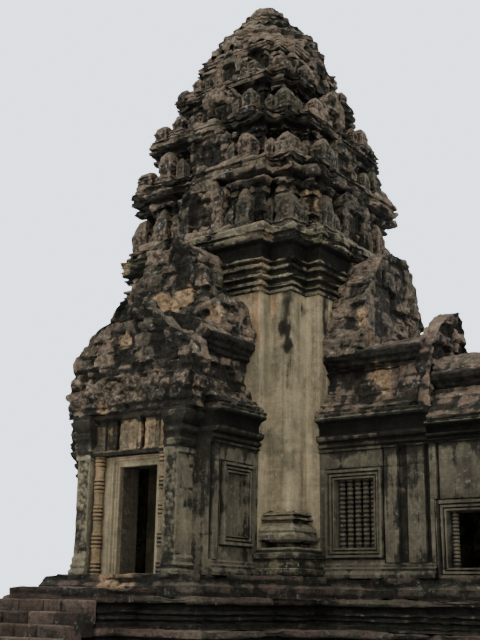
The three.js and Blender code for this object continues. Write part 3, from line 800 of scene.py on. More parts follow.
class TempleColours(PropertyGroup):
    """Colours of the stone and of what grows on it."""

    pale: colour_of("Pale", "Clean face of the body", (0.222, 0.17, 0.096))
    olive: colour_of("Olive", "Greyer face of the body", (0.125, 0.102, 0.058))
    wall: colour_of("Wall", "Dirty face of the lower walls", (0.076, 0.063, 0.038))
    dark: colour_of("Dark", "Darker stone among the others", (0.05, 0.04, 0.025))
    brown: colour_of("Brown", "Weathered face of the upper tiers", (0.135, 0.095, 0.06))
    purple: colour_of("Purple", "Purple sandstone of the platform", (0.06, 0.039, 0.026))
    red: colour_of("Red", "Reddish stone of the steps", (0.032, 0.02, 0.0125))
    warm: colour_of("Warm", "Orange stone of the colonnettes", (0.16, 0.1, 0.048))
    # The crust colour also stands for painted shade in hollows, grooves and under ledges
    crust_and_shade: colour_of("Crust", "Black crust in recesses and runs", (0.0075, 0.0068, 0.0042))
    lichen: colour_of("Lichen", "Pale lichen spots", (0.3, 0.28, 0.23))
    moss: colour_of("Moss", "Green film on ledges", (0.07, 0.078, 0.035))
    fresh: colour_of("Fresh", "Fresh break in the stone", (0.26, 0.165, 0.085))
    ground: colour_of("Ground", "Plain floor round the object", (0.62, 0.62, 0.61))


def temple_sizes():
    return bpy.context.scene.temple_sizes


# Platform


def footprint(out):
    """Ground plan grown by a distance, with the long arm on the east side."""
    reach = FRONT_WALL + FRONT_DEPTH + out
    corner = CORNER + max(out, 0.8)
    plan = redented([(reach, ARM + out), (corner, corner), (ARM + out, reach)])
    return [(HALL_END + FRONT_DEPTH + out if x == reach else x, y) for x, y in plan]


# Face of a terrace tier: share of its height and how far it stands out
TERRACE_FACE = (
    (0, 0), (0.18, 0), (0.2, -0.08), (0.29, -0.1), (0.31, -0.03), (0.4, -0.03), (0.42, -0.1), (0.47, -0.1),
    (0.49, -0.01), (0.57, -0.01), (0.59, -0.11), (0.75, -0.13), (0.78, -0.05), (0.81, 0), (1, 0),
)


def terrace_face(low, high):
    """Moulded face of one terrace tier from its foot to its ledge."""
    return [(out, low + (high - low) * share) for share, out in TERRACE_FACE]


def terrace_crust_and_shade(patch, low, high):
    """Black crust and painted shade in the hollows of a terrace tier, and lighter stone along its ledge."""
    share = (patch.points[..., 2] - low) / (high - low)
    inside = (share > 0.02) & (share < 1.02)
    deep = grooves(TERRACE_FACE, share) + 0.6 * belt(0.56, 0.62, 0.72, 0.8, share)
    return patch.stain_and_shade(crust_and_shade=inside * (0.12 + 0.7 * deep - 0.3 * smooth(0.8, 0.86, share)))


class TEMPLE_OT_platform(Operator):
    """Builds the two terrace tiers, the plinth with its floor, and the four flights of steps"""

    bl_idname = "temple.platform"
    bl_label = "Platform"

    def execute(self, context):
        for name, low, high, out, seed in (
            ("terrace_lower", 0.0, TERRACE_TOP, 1.7, 1),
            ("terrace_upper", TERRACE_TOP + GAP, UPPER_TERRACE_TOP, 0.95, 2),
        ):
            tier = ring(footprint(out), [*terrace_face(low, high), (-1.2, high)], 0.2, 0.07, caps=True)
            tier.weather(PLATFORM, seed, mask=(tier.points[..., 2] > low + 0.02) * 1.0)
            build(f"{name}_stonework", [terrace_crust_and_shade(tier, low, high)], "platform", [name])
        foot, inner = UPPER_TERRACE_TOP + GAP, -1.9
        profile = [
            (inner, foot), (0.35, foot), (0.35, 1.66), (0.31, 1.7), (0.28, 1.74), (0.28, FLOOR), (inner, FLOOR),
        ]
        plinth = ring(footprint(0), [*profile, (inner, foot)], 0.13, 0.07, loop=True).weather(PLATFORM, 3)
        plinth.stain_and_shade(fresh=spots(plinth.points, [(0.1, -6.35, 1.75, 0.8, 0.6)]))
        # Floors of the rooms: across the tower and along the hall
        across = slab(-1.7, 1.7, 1.5, FLOOR - 0.01, -4.9, 4.9, 0.5, 0.5)
        along = slab(-1.7, 1.7, 1.5, FLOOR - 0.012, -10.9, 4.9, 0.5, 0.5).turned(1)
        build("plinth_stonework", [plinth, across, along], "platform", ["plinth"])
        for side, quarter in TURNS.items():
            name, face = ("hall", HALL_END) if side == "east" else (f"porch_{side}", FRONT_WALL)
            blocks = self.steps(face + FRONT_DEPTH, 50 + quarter)
            build(f"{name}_steps_stonework", blocks, "steps", [f"{name}_steps"], quarter)
        return {"FINISHED"}

    def steps(self, face, seed):
        """A moulded landing like two terrace tiers under a slab, and treads that are rows of worn blocks."""
        top, half, depth, tread = 1.58, 1.45, 1.92, 0.33
        rise = top / 6
        near = face + 0.35
        faces = [terrace_face(0, TERRACE_TOP), terrace_face(TERRACE_TOP + GAP, UPPER_TERRACE_TOP)]
        profile = [*faces[0], *faces[1], (0.0, UPPER_TERRACE_TOP + GAP), (0, top), (-0.5, top), (-0.9, top)]
        landing = ring(box_plan(-half, -near - depth, half, -near), profile, 0.13, 0.07, caps=True)
        landing.weather(PLATFORM, seed, mask=(landing.points[..., 2] > 0.02) * 0.9)
        terrace_crust_and_shade(landing, 0, TERRACE_TOP)
        blocks = [terrace_crust_and_shade(landing, TERRACE_TOP + GAP, UPPER_TERRACE_TOP)]
        for level in range(5, 0, -1):
            front = near + depth + tread * (6 - level)
            back = max(front - 0.6, near + depth + 0.005)
            edges = np.linspace(-half, half, 5) + np.array([0, *(chance(np.arange(3), seed, level) - 0.5) * 0.3, 0])
            low = max(0.0, rise * (level - 2))
            for i, (x0, x1) in enumerate(zip(edges, edges[1:])):
                size = (x1 - x0 - 0.012, front - back - 0.01, rise * level - low)
                centre = ((x0 + x1) / 2, -(front + back) / 2, low + size[2] / 2)
                blocks.append(boulder(centre, size, seed * 40 + level * 7 + i, 16, 10, 0.16))
        return blocks


# Tower


def tower_plan(half=CORNER):
    scale = half / CORNER
    return redented([(BAY * scale, ARM * scale), (half, half), (ARM * scale, BAY * scale)])


# Moulded base of a corner pier: out and height
PIER_BASE = [
    (0, WALL_FOOT), (0.62, WALL_FOOT), (0.66, 2.0), (0.66, 2.12), (0.6, 2.14), (0.6, 2.36), (0.66, 2.38), (0.66, 2.5),
    (0.58, 2.53), (0.5, 2.56), (0.48, 2.62), (0.4, 2.65), (0.12, 2.66), (0.1, 2.78), (0.3, 2.8), (0.4, 2.86),
    (0.42, 2.96), (0.36, 3.03), (0.38, 3.08), (0.3, 3.18), (0.18, 3.28), (0.11, 3.3), (0.11, 3.35), (0.25, 3.37),
    (0.25, 3.43), (0.1, 3.45), (0.1, 3.47), (0.2, 3.49), (0.17, 3.58), (0.04, 3.62), (-0.05, 3.63),
]


class TEMPLE_OT_corners(Operator):
    """Builds the four corner masses of the tower and the moulded bases of their piers"""

    bl_idname = "temple.corners"
    bl_label = "Tower corners"

    def execute(self, context):
        room, inner = 1.45, 2.345
        plan = [
            (BAY, DOOR_HALF), (BAY, ARM), (CORNER, ARM), (CORNER, CORNER), (ARM, CORNER), (ARM, BAY),
            (DOOR_HALF, BAY), (DOOR_HALF, room), (room, room), (room, DOOR_HALF),
        ]
        for name, quarter in (("northeast", 0), ("northwest", 1), ("southwest", 2), ("southeast", 3)):
            shaft = ring(plan, [(0, WALL_FOOT), (0, DOOR_HEAD - GAP)], 0.12, 0.12, caps=True)
            shaft.weather(SMOOTH, quarter + 4).stain_and_shade(crust_and_shade=0.05)
            foot = ring(box_plan(inner, inner, CORNER, CORNER), PIER_BASE, 0.09, 0.05, caps=True)
            z = foot.points[..., 2]
            # Darker below 2.55 metres, painted shade in the base's grooves, and lighter above 2.6 metres
            foot.stain_and_shade(crust_and_shade=0.2 * (z < 2.55) + 0.5 * grooves(swapped(PIER_BASE), z) - 0.12 * (z > 2.6))
            foot.weather(MOULDED, quarter + 8, mask=(z > 1.95) * 0.6)
            node = f"tower_corner_{name}"
            build(f"{node}_stonework", [shaft], "ashlar", [node], quarter)
            build(f"{node}_base", [foot], "moulded", [node], quarter)
        return {"FINISHED"}


# Outline of a ruined gable: height, left and right half width
SOUTH_FRONTON = (
    (7.9, -1.95, 2.0), (8.3, -2.05, 2.05), (8.5, -1.98, 1.98), (8.75, -1.95, 1.86), (9.05, -1.85, 1.86),
    (9.3, -1.75, 1.76), (9.5, -1.7, 1.35), (9.75, -1.55, 1.17), (10.1, -1.4, 1.1), (10.3, -1.2, 0.95),
    (10.6, -1.0, 0.86), (10.8, -0.9, 0.6), (11.0, -0.75, 0.35), (11.22, -0.2, 0.08),
)
EAST_FRONTON = (
    (7.75, -1.95, 1.95), (8.2, -1.95, 2.05), (8.5, -1.8, 2.1), (8.85, -1.72, 2.1), (9.25, -1.6, 2.0),
    (9.6, -1.45, 1.9), (9.96, -1.3, 1.72), (10.2, -1.0, 1.5), (10.45, -0.85, 1.24), (10.8, -0.6, 1.15),
    (11.0, -0.35, 1.02), (11.15, 0.1, 0.8),
)

# Dirt on the smooth body: x, y, height, radius, how far its height is squeezed, and strength
BODY_STAINS = (
    (2.66, -2.94, 8.45, 0.32, 1.0, 0.62), (2.76, -2.94, 8.0, 0.24, 1.0, 0.6), (2.94, -2.3, 9.1, 0.2, 1.0, 0.5),
    (2.78, -2.94, 9.15, 0.45, 0.4, 0.34), (3.37, -1.88, 8.9, 0.41, 0.4, 0.45), (1.85, -3.37, 8.85, 0.45, 0.4, 0.5),
    (2.74, -2.94, 9.1, 0.17, 0.2, 0.16), (2.94, -2.45, 9.0, 0.12, 0.2, 0.6), (3.37, -1.9, 8.8, 0.25, 0.22, 0.5),
    (2.88, -2.94, 7.6, 0.14, 0.12, 0.35), (2.3, -3.37, 7.8, 0.12, 0.12, 0.3),
)

# Warm streaks on it, in the same way
BODY_WARMTH = (
    (2.08, -3.37, 9.1, 0.24, 0.25, 0.75), (2.4, -2.94, 9.2, 0.2, 0.25, 0.75), (1.6, -3.37, 8.8, 0.6, 0.5, 0.4),
    (3.37, -1.3, 8.8, 0.6, 0.5, 0.4), (2.2, -3.37, 8.2, 0.2, 0.25, 0.5),
)

# Upright lines of painted shade on the body, from its axis
SHADE_LINES = (2.28, 2.7, 2.88)

# Fresh breaks of the frontons: place along, height, radius and strength
SOUTH_BREAKS = ((-0.34, 9.05, 0.75, 0.85), (0.0, 8.5, 0.65, 0.8), (0.46, 9.37, 0.5, 0.75), (1.48, 8.67, 0.45, 0.9))
EAST_BREAKS = ((-1.9, 8.75, 0.5, 0.9), (-1.3, 8.3, 0.35, 0.5))


def grooves(profile, z):
    """How deep a height lies behind the mouldings above and below it, from 0 to 1."""
    places, outs = np.array(profile).T
    reach = 0.035 * (places[-1] - places[0])
    around = [np.interp(z + shift, places, outs) for shift in (-reach, 0.0, reach)]
    return np.clip((np.maximum(around[0], around[2]) - around[1]) * 3 / np.ptp(outs), 0, 1)


# Main cornice: height and out
MAIN_CORNICE = [
    (9.5, 0.03), (9.53, 0.07), (9.6, 0.08), (9.62, 0.02), (9.66, 0.02), (9.68, 0.12), (9.76, 0.13), (9.78, 0.02),
    (9.86, 0.02), (9.9, 0.17), (9.98, 0.17), (10.0, 0.04), (10.12, 0.05), (10.16, 0.16), (10.24, 0.2), (10.28, 0.08),
    (10.34, 0.1), (10.38, 0.22), (10.44, 0.22), (10.47, 0.02), (10.62, 0.0), (10.85, 0.06), (10.9, 0.26),
    (11.0, 0.33), (11.06, 0.34), (11.08, 0.27), (11.13, 0.27), (11.16, 0.34), (11.3, 0.35), (11.39, 0.3),
]


class TEMPLE_OT_body(Operator):
    """Builds the smooth tower body with its four frontons, and the main cornice"""

    bl_idname = "temple.body"
    bl_label = "Tower body"

    def execute(self, context):
        room, shaft, ceiling = -1.49, -1.84, 6.4
        profile = [
            (0, DOOR_HEAD), (0, BODY_TOP), (shaft, BODY_TOP), (shaft, ceiling), (room, ceiling), (room, DOOR_HEAD),
            (0, DOOR_HEAD),
        ]
        body = ring(tower_plan(), profile, 0.11, 0.13, loop=True).weather(SMOOTH, 14)
        z = body.points[..., 2]
        # Painted shade just under the main cornice's overhang, lighter from 8.5 metres up to it, and darker below 7
        # metres
        body.stain_and_shade(crust_and_shade=0.16 * smooth(9.1, 9.5, z) - 0.1 * smooth(7.5, 8.5, z))
        body.stain_and_shade(crust_and_shade=0.1 * (1 - smooth(6.6, 7.1, z)))
        for channel, rows in (("crust_and_shade", BODY_STAINS), ("fresh", BODY_WARMTH)):
            for x, y, height, radius, squeeze, strength in rows:
                ball = spot(body.points * (1, 1, squeeze), (x, y, height * squeeze), radius)
                body.stain_and_shade(**{channel: strength * ball})
        x, y = np.abs(body.points[..., 0]), np.abs(body.points[..., 1])
        # Painted shade in upright lines down the body
        for side in SHADE_LINES:
            body.stain_and_shade(crust_and_shade=0.24 * (bell(x - side, 0.05) * (y > 2.9) + bell(y - side, 0.05) * (x > 2.9)))
        fronts = []
        for quarter, outline in enumerate((SOUTH_FRONTON, EAST_FRONTON, SOUTH_FRONTON, SOUTH_FRONTON)):
            stones = loaf(outline, -FRONTON_FACE, -BAY + 0.1, 0.085, 0.075)
            east = quarter == TURNS["east"]
            plain = 0.7 * spot(stones.points, (-0.7, -4.5, 9.0), 1.1) * east
            stones.weather(RUBBLE, 20 + quarter, mask=0.9 - plain).stain_and_shade(carved=0.4 - 0.4 * plain)
            for x, z, radius, strength in EAST_BREAKS if east else SOUTH_BREAKS:
                stones.stain_and_shade(fresh=strength * spot(stones.points, (x, -4.5, z), radius))
            fronts.append(stones.turned(quarter))
        build("tower_body_stonework", [body], "ashlar", ["tower_body"])
        build("frontons_stonework", fronts, "rubble", ["tower_body"])
        foot, inner = BODY_TOP + GAP, -1.9
        profile = [(inner, foot), *swapped(MAIN_CORNICE), (inner, CORNICE_END), (inner, foot)]
        cornice = ring(tower_plan(), profile, 0.1, 0.06, loop=True)
        rough = np.clip((cornice.points[..., 2] - 9.3) * 0.5, 0.2, 0.65)
        tips = np.interp(cornice.points[..., 2], *np.array(MAIN_CORNICE).T) / 0.35
        cornice.eroded(0.2, 0.7, 29, tips).eroded(0.12, 0.3, 28, tips).weather(MOULDED, 30, mask=rough)
        z = cornice.points[..., 2]
        # Painted shade and crust in the deep hollow under the crown, painted shade in the grooves between mouldings,
        # and the crown's top a little lighter
        recess = belt(10.4, 10.5, 10.85, 10.95, z)
        cornice.stain_and_shade(crust_and_shade=0.9 * recess + 0.15 - 0.06 * smooth(10.9, 11.0, z) + 0.5 * grooves(MAIN_CORNICE, z))
        warm = smooth(0.0, 0.35, noise(cornice.points * (1, 1, 0.35), 0.8, 81)) * (1 - recess)
        cornice.stain_and_shade(crust_and_shade=-0.22 * warm, fresh=0.42 * warm)
        build("main_cornice_stonework", [cornice], "moulded", ["main_cornice"])
        return {"FINISHED"}


# Face of an upper tier: share of its height, and how far it stands out as a share of its base or its cornice
TIER_BASE = [
    (0.0, 1.0), (0.035, 1.0), (0.04, 0.8), (0.06, 0.8), (0.065, 1.0), (0.1, 1.0), (0.13, 0.92), (0.14, 0.3),
    (0.18, 0.35), (0.22, 0.32), (0.23, 0.1), (0.27, 0.1), (0.28, 0.2), (0.31, 0.2), (0.32, 0.0), (0.54, 0.0),
]
TIER_HEAD = [
    (0.56, 0.12), (0.6, 0.12), (0.61, 0.02), (0.65, 0.05), (0.67, 0.4), (0.7, 0.5), (0.72, 0.46), (0.73, 0.2),
    (0.77, 0.22), (0.79, 0.75), (0.84, 1.0), (0.9, 1.02), (0.91, 0.8), (0.94, 0.8), (0.95, 1.02), (1.0, 0.98),
]

# Lotus crown: radius and height
CROWN = [
    (1.85, CROWN_FOOT), (2.0, 18.34), (2.03, 18.45), (2.0, 18.66), (1.86, 18.78), (1.76, 18.86), (1.82, 18.95),
    (1.8, 19.06), (1.63, 19.2), (1.4, 19.36), (1.3, 19.42), (1.35, 19.5), (1.32, 19.58), (1.15, 19.69), (1.02, 19.8),
    (1.06, 19.86), (0.9, 19.96), (0.77, 20.04), (0.8, 20.14), (0.74, 20.28), (0.56, 20.44), (0.52, 20.52),
    (0.42, 20.6), (0.22, 20.7), (0.0, 20.75),
]


class TEMPLE_OT_tiers(Operator):
    """Builds the four upper tiers with their antefixes and niches, and the lotus crown"""

    bl_idname = "temple.tiers"
    bl_label = "Upper tiers"

    def execute(self, context):
        for number, sizes in enumerate(TIERS, 1):
            self.tier(number, *sizes)
        self.crown()
        return {"FINISHED"}

    def tier(self, number, foot, top, half, hollow, base, cornice, place, wide, tall):
        """Body between a moulded base and a heavy cornice, a niche on each side, and antefixes along its ledge."""
        rise = top - foot
        shares = [(s, o * base) for s, o in TIER_BASE] + [(s, o * cornice) for s, o in TIER_HEAD]
        face = [(o, foot + GAP + rise * s * 0.9997) for s, o in shares]
        inner = hollow - half
        shaft = [(inner, foot + GAP), *face, (inner, top), (inner, foot + GAP)]
        body = ring(tower_plan(half), shaft, 0.105, 0.068, loop=True)
        share = (body.v - foot) / rise
        rib = smooth(-0.2, 0.2, np.sin(body.u * 11.4)) * (share > 0.23) * (share < 0.7)
        body.points = body.points + normals(body.points, True, True) * (0.07 * rib)[..., None]
        # Painted shade between the ribs, which stand out and are painted lighter
        body.stain_and_shade(crust_and_shade=0.35 * (share > 0.23) * (share < 0.7) - 0.35 * rib)
        body.eroded(0.7 * cornice, 1.1, 33 + number, (share > 0.55) * (share < 1.01) * 1.0).weather(ROUGH, 40 + number)
        warm = smooth(0.0, 0.4, noise(body.points, 1.4, 80 + number)) * (share > 0.2) * (share < 0.66)
        body.stain_and_shade(crust_and_shade=-0.12 * warm, fresh=(0.5 if number < 3 else 0.25) * warm)
        # Painted shade in the hollow under the cornice, on the upper body below it and in the grooves between mouldings
        recess = 0.45 * belt(0.71, 0.74, 0.77, 0.81, share) + 0.1 * smooth(0.3, 0.5, share) * (share < 0.66)
        body.stain_and_shade(crust_and_shade=recess + 0.25 * grooves(shares, share) - 0.06)
        body.stain_and_shade(carved=0.6 * (share > 0.3) * (share < 0.66))
        parts = [body]
        reach = place * BAY / CORNER + 0.06
        along = place * 0.58
        corner = place + 0.03
        stones = [(corner, -corner, 0.0, 1.12, 0.97)]
        for x, y, width, height in (
            (along, reach, 0.95, 1.0),
            (place * 0.8, place * 1.03, 0.62, 0.8),
            (place * 0.37, reach, 0.6, 0.78),
        ):
            stones += [(x, -y, 0.0, width, height), (y, -x, math.pi / 2, width, height)]
        for quarter in range(4):
            seed = number * 100 + quarter * 10
            for i, (x, y, angle, width, height) in enumerate(stones):
                width, height = wide * width, tall * height * (0.9 + 0.16 * float(chance(seed, i)))
                made = antefix((x, y, foot + 0.01), angle, width, width * 0.98, height, seed + i)
                parts.append(made.turned(quarter))
            parts.append(self.niche(half * BAY / CORNER, half, foot, rise, base, seed).turned(quarter))
            parts.extend(patch.turned(quarter) for patch in self.loose_stones(half, top, cornice, seed))
        name = f"tower_tier_{number}"
        build(f"{name}_stonework", parts, "tower", [name])

    def niche(self, bay, half, foot, rise, out, seed):
        """Arched niche: an upright slab with a pointed head."""
        wide = half * 0.3
        shares = [
            (0.1, 1.0), (0.3, 1.0), (0.5, 1.02), (0.58, 1.12), (0.68, 1.0), (0.8, 0.72), (0.9, 0.4), (0.98, 0.12),
        ]
        outline = [(foot + rise * s, -wide * w, wide * w) for s, w in shares]
        body = loaf(outline, -bay - out, -bay + 0.05, 0.07, 0.07)
        x, y, z = np.moveaxis(body.points, -1, 0)
        deep = (y < -bay - out * 0.9) * (np.abs(x) < wide * 0.5) * (z < foot + rise * 0.56) * 1.0
        y += deep * out * 0.5
        # The panel set deep in the niche gets painted shade
        return body.stain_and_shade(crust_and_shade=deep * 0.3, carved=0.6).weather(ROUGH, seed)

    def loose_stones(self, half, top, cornice, seed):
        """Broken blocks left on the cornice."""
        made = []
        for i in range(2):
            x = (float(chance(seed, i, 1)) - 0.5) * 1.6 * half
            size = 0.16 + 0.16 * float(chance(seed, i, 2))
            edge = (half * BAY / CORNER if abs(x) < half * 0.7 else half) + cornice - size
            block = (size * 1.6, size * 1.3, size)
            made.append(boulder((x, -edge, top + size * 0.3), block, seed * 3 + i, 12, 8, 0.4, x))
        return made

    def crown(self):
        """Lotus crown turned about the axis: each bowl's radius swings with its petals."""
        radius, z = section(CROWN, 0.05).T
        a = angles(120)
        petals = 1 - 0.06 * np.abs(np.sin(a * 12 + np.floor(z * 1.9) * 0.8)) ** 3
        patch = lathe(0, 0, radius * petals, z, len(a))
        patch.u = np.broadcast_to(a * 1.5, patch.v.shape)
        tip = patch.points[:, -1].copy()
        patch.weather(ROUGH, 61, mask=np.clip(radius / 0.8, 0, 1) * 0.8, out=-0.03)
        # Painted shade in the grooves between the lotus bowls
        patch.stain_and_shade(crust_and_shade=0.3 * grooves(swapped(CROWN), z), carved=0.4)
        patch.points[:, -1] = tip
        # The foot is closed by a row of points at its middle
        patch.points = np.concatenate([np.tile([[[0, 0, CROWN_FOOT]]], (len(a), 1, 1)), patch.points], axis=1)
        patch.wear = np.concatenate([patch.wear[:, :1], patch.wear], axis=1)
        patch.u, patch.v = np.broadcast_to(a * 1.5, patch.points.shape[:2]), patch.points[..., 2]
        build("lotus_crown_stonework", [patch], "tower", ["lotus_crown"])


# Arms of the building


# Base of a wall: height and out
WALL_BASE = [
    (WALL_FOOT, 0.15), (2.02, 0.16), (2.06, 0.12), (2.1, 0.08), (2.16, 0.1), (2.2, 0.04), (2.26, 0.05), (2.3, 0.0),
]

# Cornice of a wall: share of its height and out
WALL_HEAD = [
    (-0.07, 0.0), (-0.05, 0.06), (0.0, 0.06), (0.01, 0.02), (0.04, 0.02), (0.06, 0.1), (0.13, 0.11), (0.15, 0.05),
    (0.2, 0.05), (0.22, 0.14), (0.3, 0.19), (0.37, 0.17), (0.39, 0.02), (0.58, 0.02), (0.69, 0.1), (0.73, 0.25),
    (0.8, 0.28), (0.84, 0.23), (0.88, 0.28), (0.92, 0.27),
]


def wall_cornice(top):
    """Height and projection of the wall's cornice: thin mouldings, a band of petals, a deep hollow and the crown."""
    rise = (top - CORNICE_FOOT) / 0.92
    return [(CORNICE_FOOT + rise * z, out) for z, out in WALL_HEAD]


def wall_dirt_and_shade(z, top):
    """Black crust and painted shade of a wall: both in the hollows of its cornice and under it, its bands that stand
    out lighter, and crust rising from the foot.
    """
    share = (z - CORNICE_FOOT) / (top - CORNICE_FOOT)
    hollow = belt(0.36, 0.42, 0.68, 0.76, share)
    frieze = smooth(-0.5, 0.0, share)
    deep = 0.25 * grooves(wall_cornice(top), z) * (share > -0.1)
    # The cornice is darker than the wall, with painted highlight on its crown and its petal band, which stand out
    crown = 0.32 * smooth(0.0, 0.1, share) - 0.42 * smooth(0.8, 0.84, share) - 0.2 * belt(0.24, 0.28, 0.36, 0.4, share)
    return 0.95 * hollow + 0.3 * frieze + crown + deep + 0.12 * (1 - smooth(1.95, 2.6, z))


# Window surround: distances from the opening's edge, and how far each band between them stands out of the wall
FRAME_EDGES = (0.0, 0.05, 0.08, 0.14, 0.17, 0.25, 0.29)
FRAME_OUTS = (-0.16, 0.05, -0.01, 0.07, 0.01, 0.11, -0.03)


def window_relief(y, z, window):
    """Moulded surround: the projection is read from the distance to the opening's edge."""
    near, far, sill, head = window
    away = np.maximum(np.maximum(near - y, y - far), np.maximum(sill - z, z - head))
    band = np.searchsorted(FRAME_EDGES, away, side="right")
    return np.array([*FRAME_OUTS, 0.0])[band], away


def side_wall(near, far, top, windows, strips):
    """Wall of an arm as a closed plate: base, cornice, pilaster strips and window surrounds in relief."""
    base = np.array(WALL_BASE)
    cornice = np.array(wall_cornice(top))
    y_breaks = [-far, -near]
    z_breaks = [WALL_FOOT, top]
    for y0, y1, sill, head, _ in windows:
        for d in FRAME_EDGES:
            y_breaks += [-y0 - d, -y1 + d]
            z_breaks += [sill - d, head + d]
    for y0, y1, _ in strips:
        y_breaks += [-y0, -y1]
    z_breaks += list(base[1:, 0]) + list(cornice[:-1, 0])
    y = axis([b for b in y_breaks if -far <= b <= -near], 0.12)
    z = axis([b for b in z_breaks if FLOOR <= b <= top], 0.11)
    shape = (len(y), len(z))
    out = np.interp(z, base[:, 0], base[:, 1]) + np.interp(z, cornice[:, 0], cornice[:, 1], left=0)
    out = np.broadcast_to(out, shape).copy()
    grid_y, grid_z = np.meshgrid(y, z, indexing="ij")
    height = (grid_z - CORNICE_FOOT) / (top - CORNICE_FOOT)
    petals = np.abs(np.sin(grid_y * 8.4)) * ((height > 0.23) & (height < 0.42) | (height > 0.78) & (height < 0.93))
    out += 0.035 * petals
    plain = (grid_z > 2.3) & (grid_z < CORNICE_FOOT - 0.02)
    # The cornice above its lowest mouldings is darker, and the petals, which stand out, get painted highlight
    dirt_and_shade = 0.12 * (height > 0.23) - 0.3 * petals
    for y0, y1, depth in strips:
        inside = plain * (grid_y > -y0) * (grid_y < -y1)
        out += inside * depth
        # Painted shade on sunk strips and a little painted highlight on raised ones
        dirt_and_shade += inside * (0.4 if depth < 0 else -0.05)
    keep = np.ones((len(y) - 1, len(z) - 1), bool)
    for y0, y1, sill, head, opened in windows:
        relief, away = window_relief(grid_y, grid_z, (-y0, -y1, sill, head))
        framed = away < FRAME_EDGES[-1]
        out = np.where(framed, relief, out)
        # Painted shade on the surround's sunk bands and painted highlight on its raised ones
        dirt_and_shade += framed * (away > 0) * np.where(relief < 0.02, 0.35, -0.08)
        if opened:
            inside = away < -0.001
            keep &= holed(inside)
            out = np.where(inside, 0.0, out)
    points = np.stack([ARM + out, grid_y, grid_z], axis=-1)
    back = np.stack([np.full(shape, INSIDE), grid_y, grid_z], axis=-1)
    return Patch(points, grid_y + WALL_START, grid_z, keep=keep, back=back).stain_and_shade(crust_and_shade=dirt_and_shade)


# Face of a doorway's pier: out and height
PIER = [
    (0.11, WALL_FOOT), (0.12, 2.02), (0.06, 2.08), (0.09, 2.15), (0.03, 2.22), (0.05, 2.32), (0.0, 2.4), (0.0, 4.8),
    (0.05, 4.84), (0.06, 4.94), (0.02, 4.98), (0.1, 5.06), (0.13, 5.14), (0.06, 5.2), (0.06, 5.3), (0.16, 5.38),
    (0.19, 5.48), (0.12, 5.53), (0.22, 5.62), (0.3, 5.74), (0.33, 5.84), (0.26, 5.88), (0.3, 5.95),
]


def pier(face, wall, seed):
    """Pier beside a doorway: a box with a moulded base, a carved front and a capital of spreading courses."""
    patch = ring(box_plan(PIER_INNER, -face, PIER_OUTER, -wall + 0.03), PIER, 0.09, 0.07, caps=True)
    x, y, z = np.moveaxis(patch.points.copy(), -1, 0)
    patch.points[..., 0] = np.where(x < PIER_INNER, np.maximum(x, PIER_INNER - 0.02), x)
    patch.points[..., 1] -= np.minimum(y + face, 0) * 0.6
    shaft = (z > 2.42) & (z < 4.78)
    panel = shaft * (y < -face + 0.01) * smooth(0.03, 0.06, np.minimum(x - PIER_INNER, PIER_OUTER - x))
    patch.points[..., 1] += 0.025 * panel * (0.4 + 0.6 * np.sin(z * 19) * np.sin(x * 23 + z * 7))
    patch.weather(MOULDED, seed, mask=np.where(shaft, 0.22, 0.7) * (z > 1.95))
    # Darker over the capital, and painted shade in the grooves of the base and capital
    return patch.stain_and_shade(crust_and_shade=0.45 * smooth(4.9, 5.2, z) + 0.4 * grooves(swapped(PIER), z) * ~shaft, carved=panel)


def colonnette(x, y, foot, top, radius, seed):
    """Turned colonnette: rings swell the radius where a cosine of the height is high, closest at the bands."""
    z = np.linspace(foot, top, 160)
    share = (z - foot) / (top - foot)
    band = sum(np.exp(-(((share - c) / 0.07) ** 4)) for c in (0.05, 0.28, 0.52, 0.75, 0.96))
    fine = 0.5 + 0.5 * np.cos(share * 2 * math.pi * 30)
    facets = 1 - 0.03 * np.abs(np.sin(angles(16) * 4))
    patch = lathe(x, y, radius * (0.8 + 0.08 * band + 0.12 * fine * band) * facets, z, 16, caps=True)
    patch.u = np.broadcast_to(angles(16) * radius, patch.v.shape)
    way = normals(patch.points, True, False)
    patch.points = patch.points + 0.015 * noise(patch.points, 0.25, seed)[..., None] * way
    # Painted shade in the grooves between the rings, deepest at the bands
    return patch.stain_and_shade(crust_and_shade=0.6 * (1 - fine) * (0.3 + 0.7 * np.minimum(band, 1)))


def door_plate(grid_x, grid_z, depth, face, wall, keep=None):
    """Closed plate across a doorway: its front lies behind the face by the depth, and its back is flat."""
    points = np.stack([grid_x, -face + depth, grid_z], axis=-1)
    back = np.stack([grid_x, np.full(grid_x.shape, -wall - GAP), grid_z], axis=-1)
    return Patch(points, keep=keep, back=back)


def door_frame(face, wall):
    """Door frame: a portal whose stepped bands are read from the distance to the doorway."""
    sides = (DOOR_HALF, 0.7, 0.77, 0.84, 0.98, PIER_INNER - GAP)
    x = axis([*[-side for side in sides], 0, *sides], 0.12)
    z = axis([WALL_FOOT, DOOR_HEAD, 4.7, 4.76, 4.81, 4.85, FRAME_TOP], 0.12)
    grid_x, grid_z = np.meshgrid(x, z, indexing="ij")
    away = np.maximum(np.abs(grid_x) - DOOR_HALF, grid_z - DOOR_HEAD)
    edges = (0.0, 0.055, 0.065, 0.125, 0.135, 0.195, 0.205, 0.5)
    depth = np.interp(away, edges, (0.12, 0.12, 0.09, 0.09, 0.03, 0.03, 0.0, 0.0))
    return door_plate(grid_x, grid_z, depth, face, wall, holed(away < -0.001))


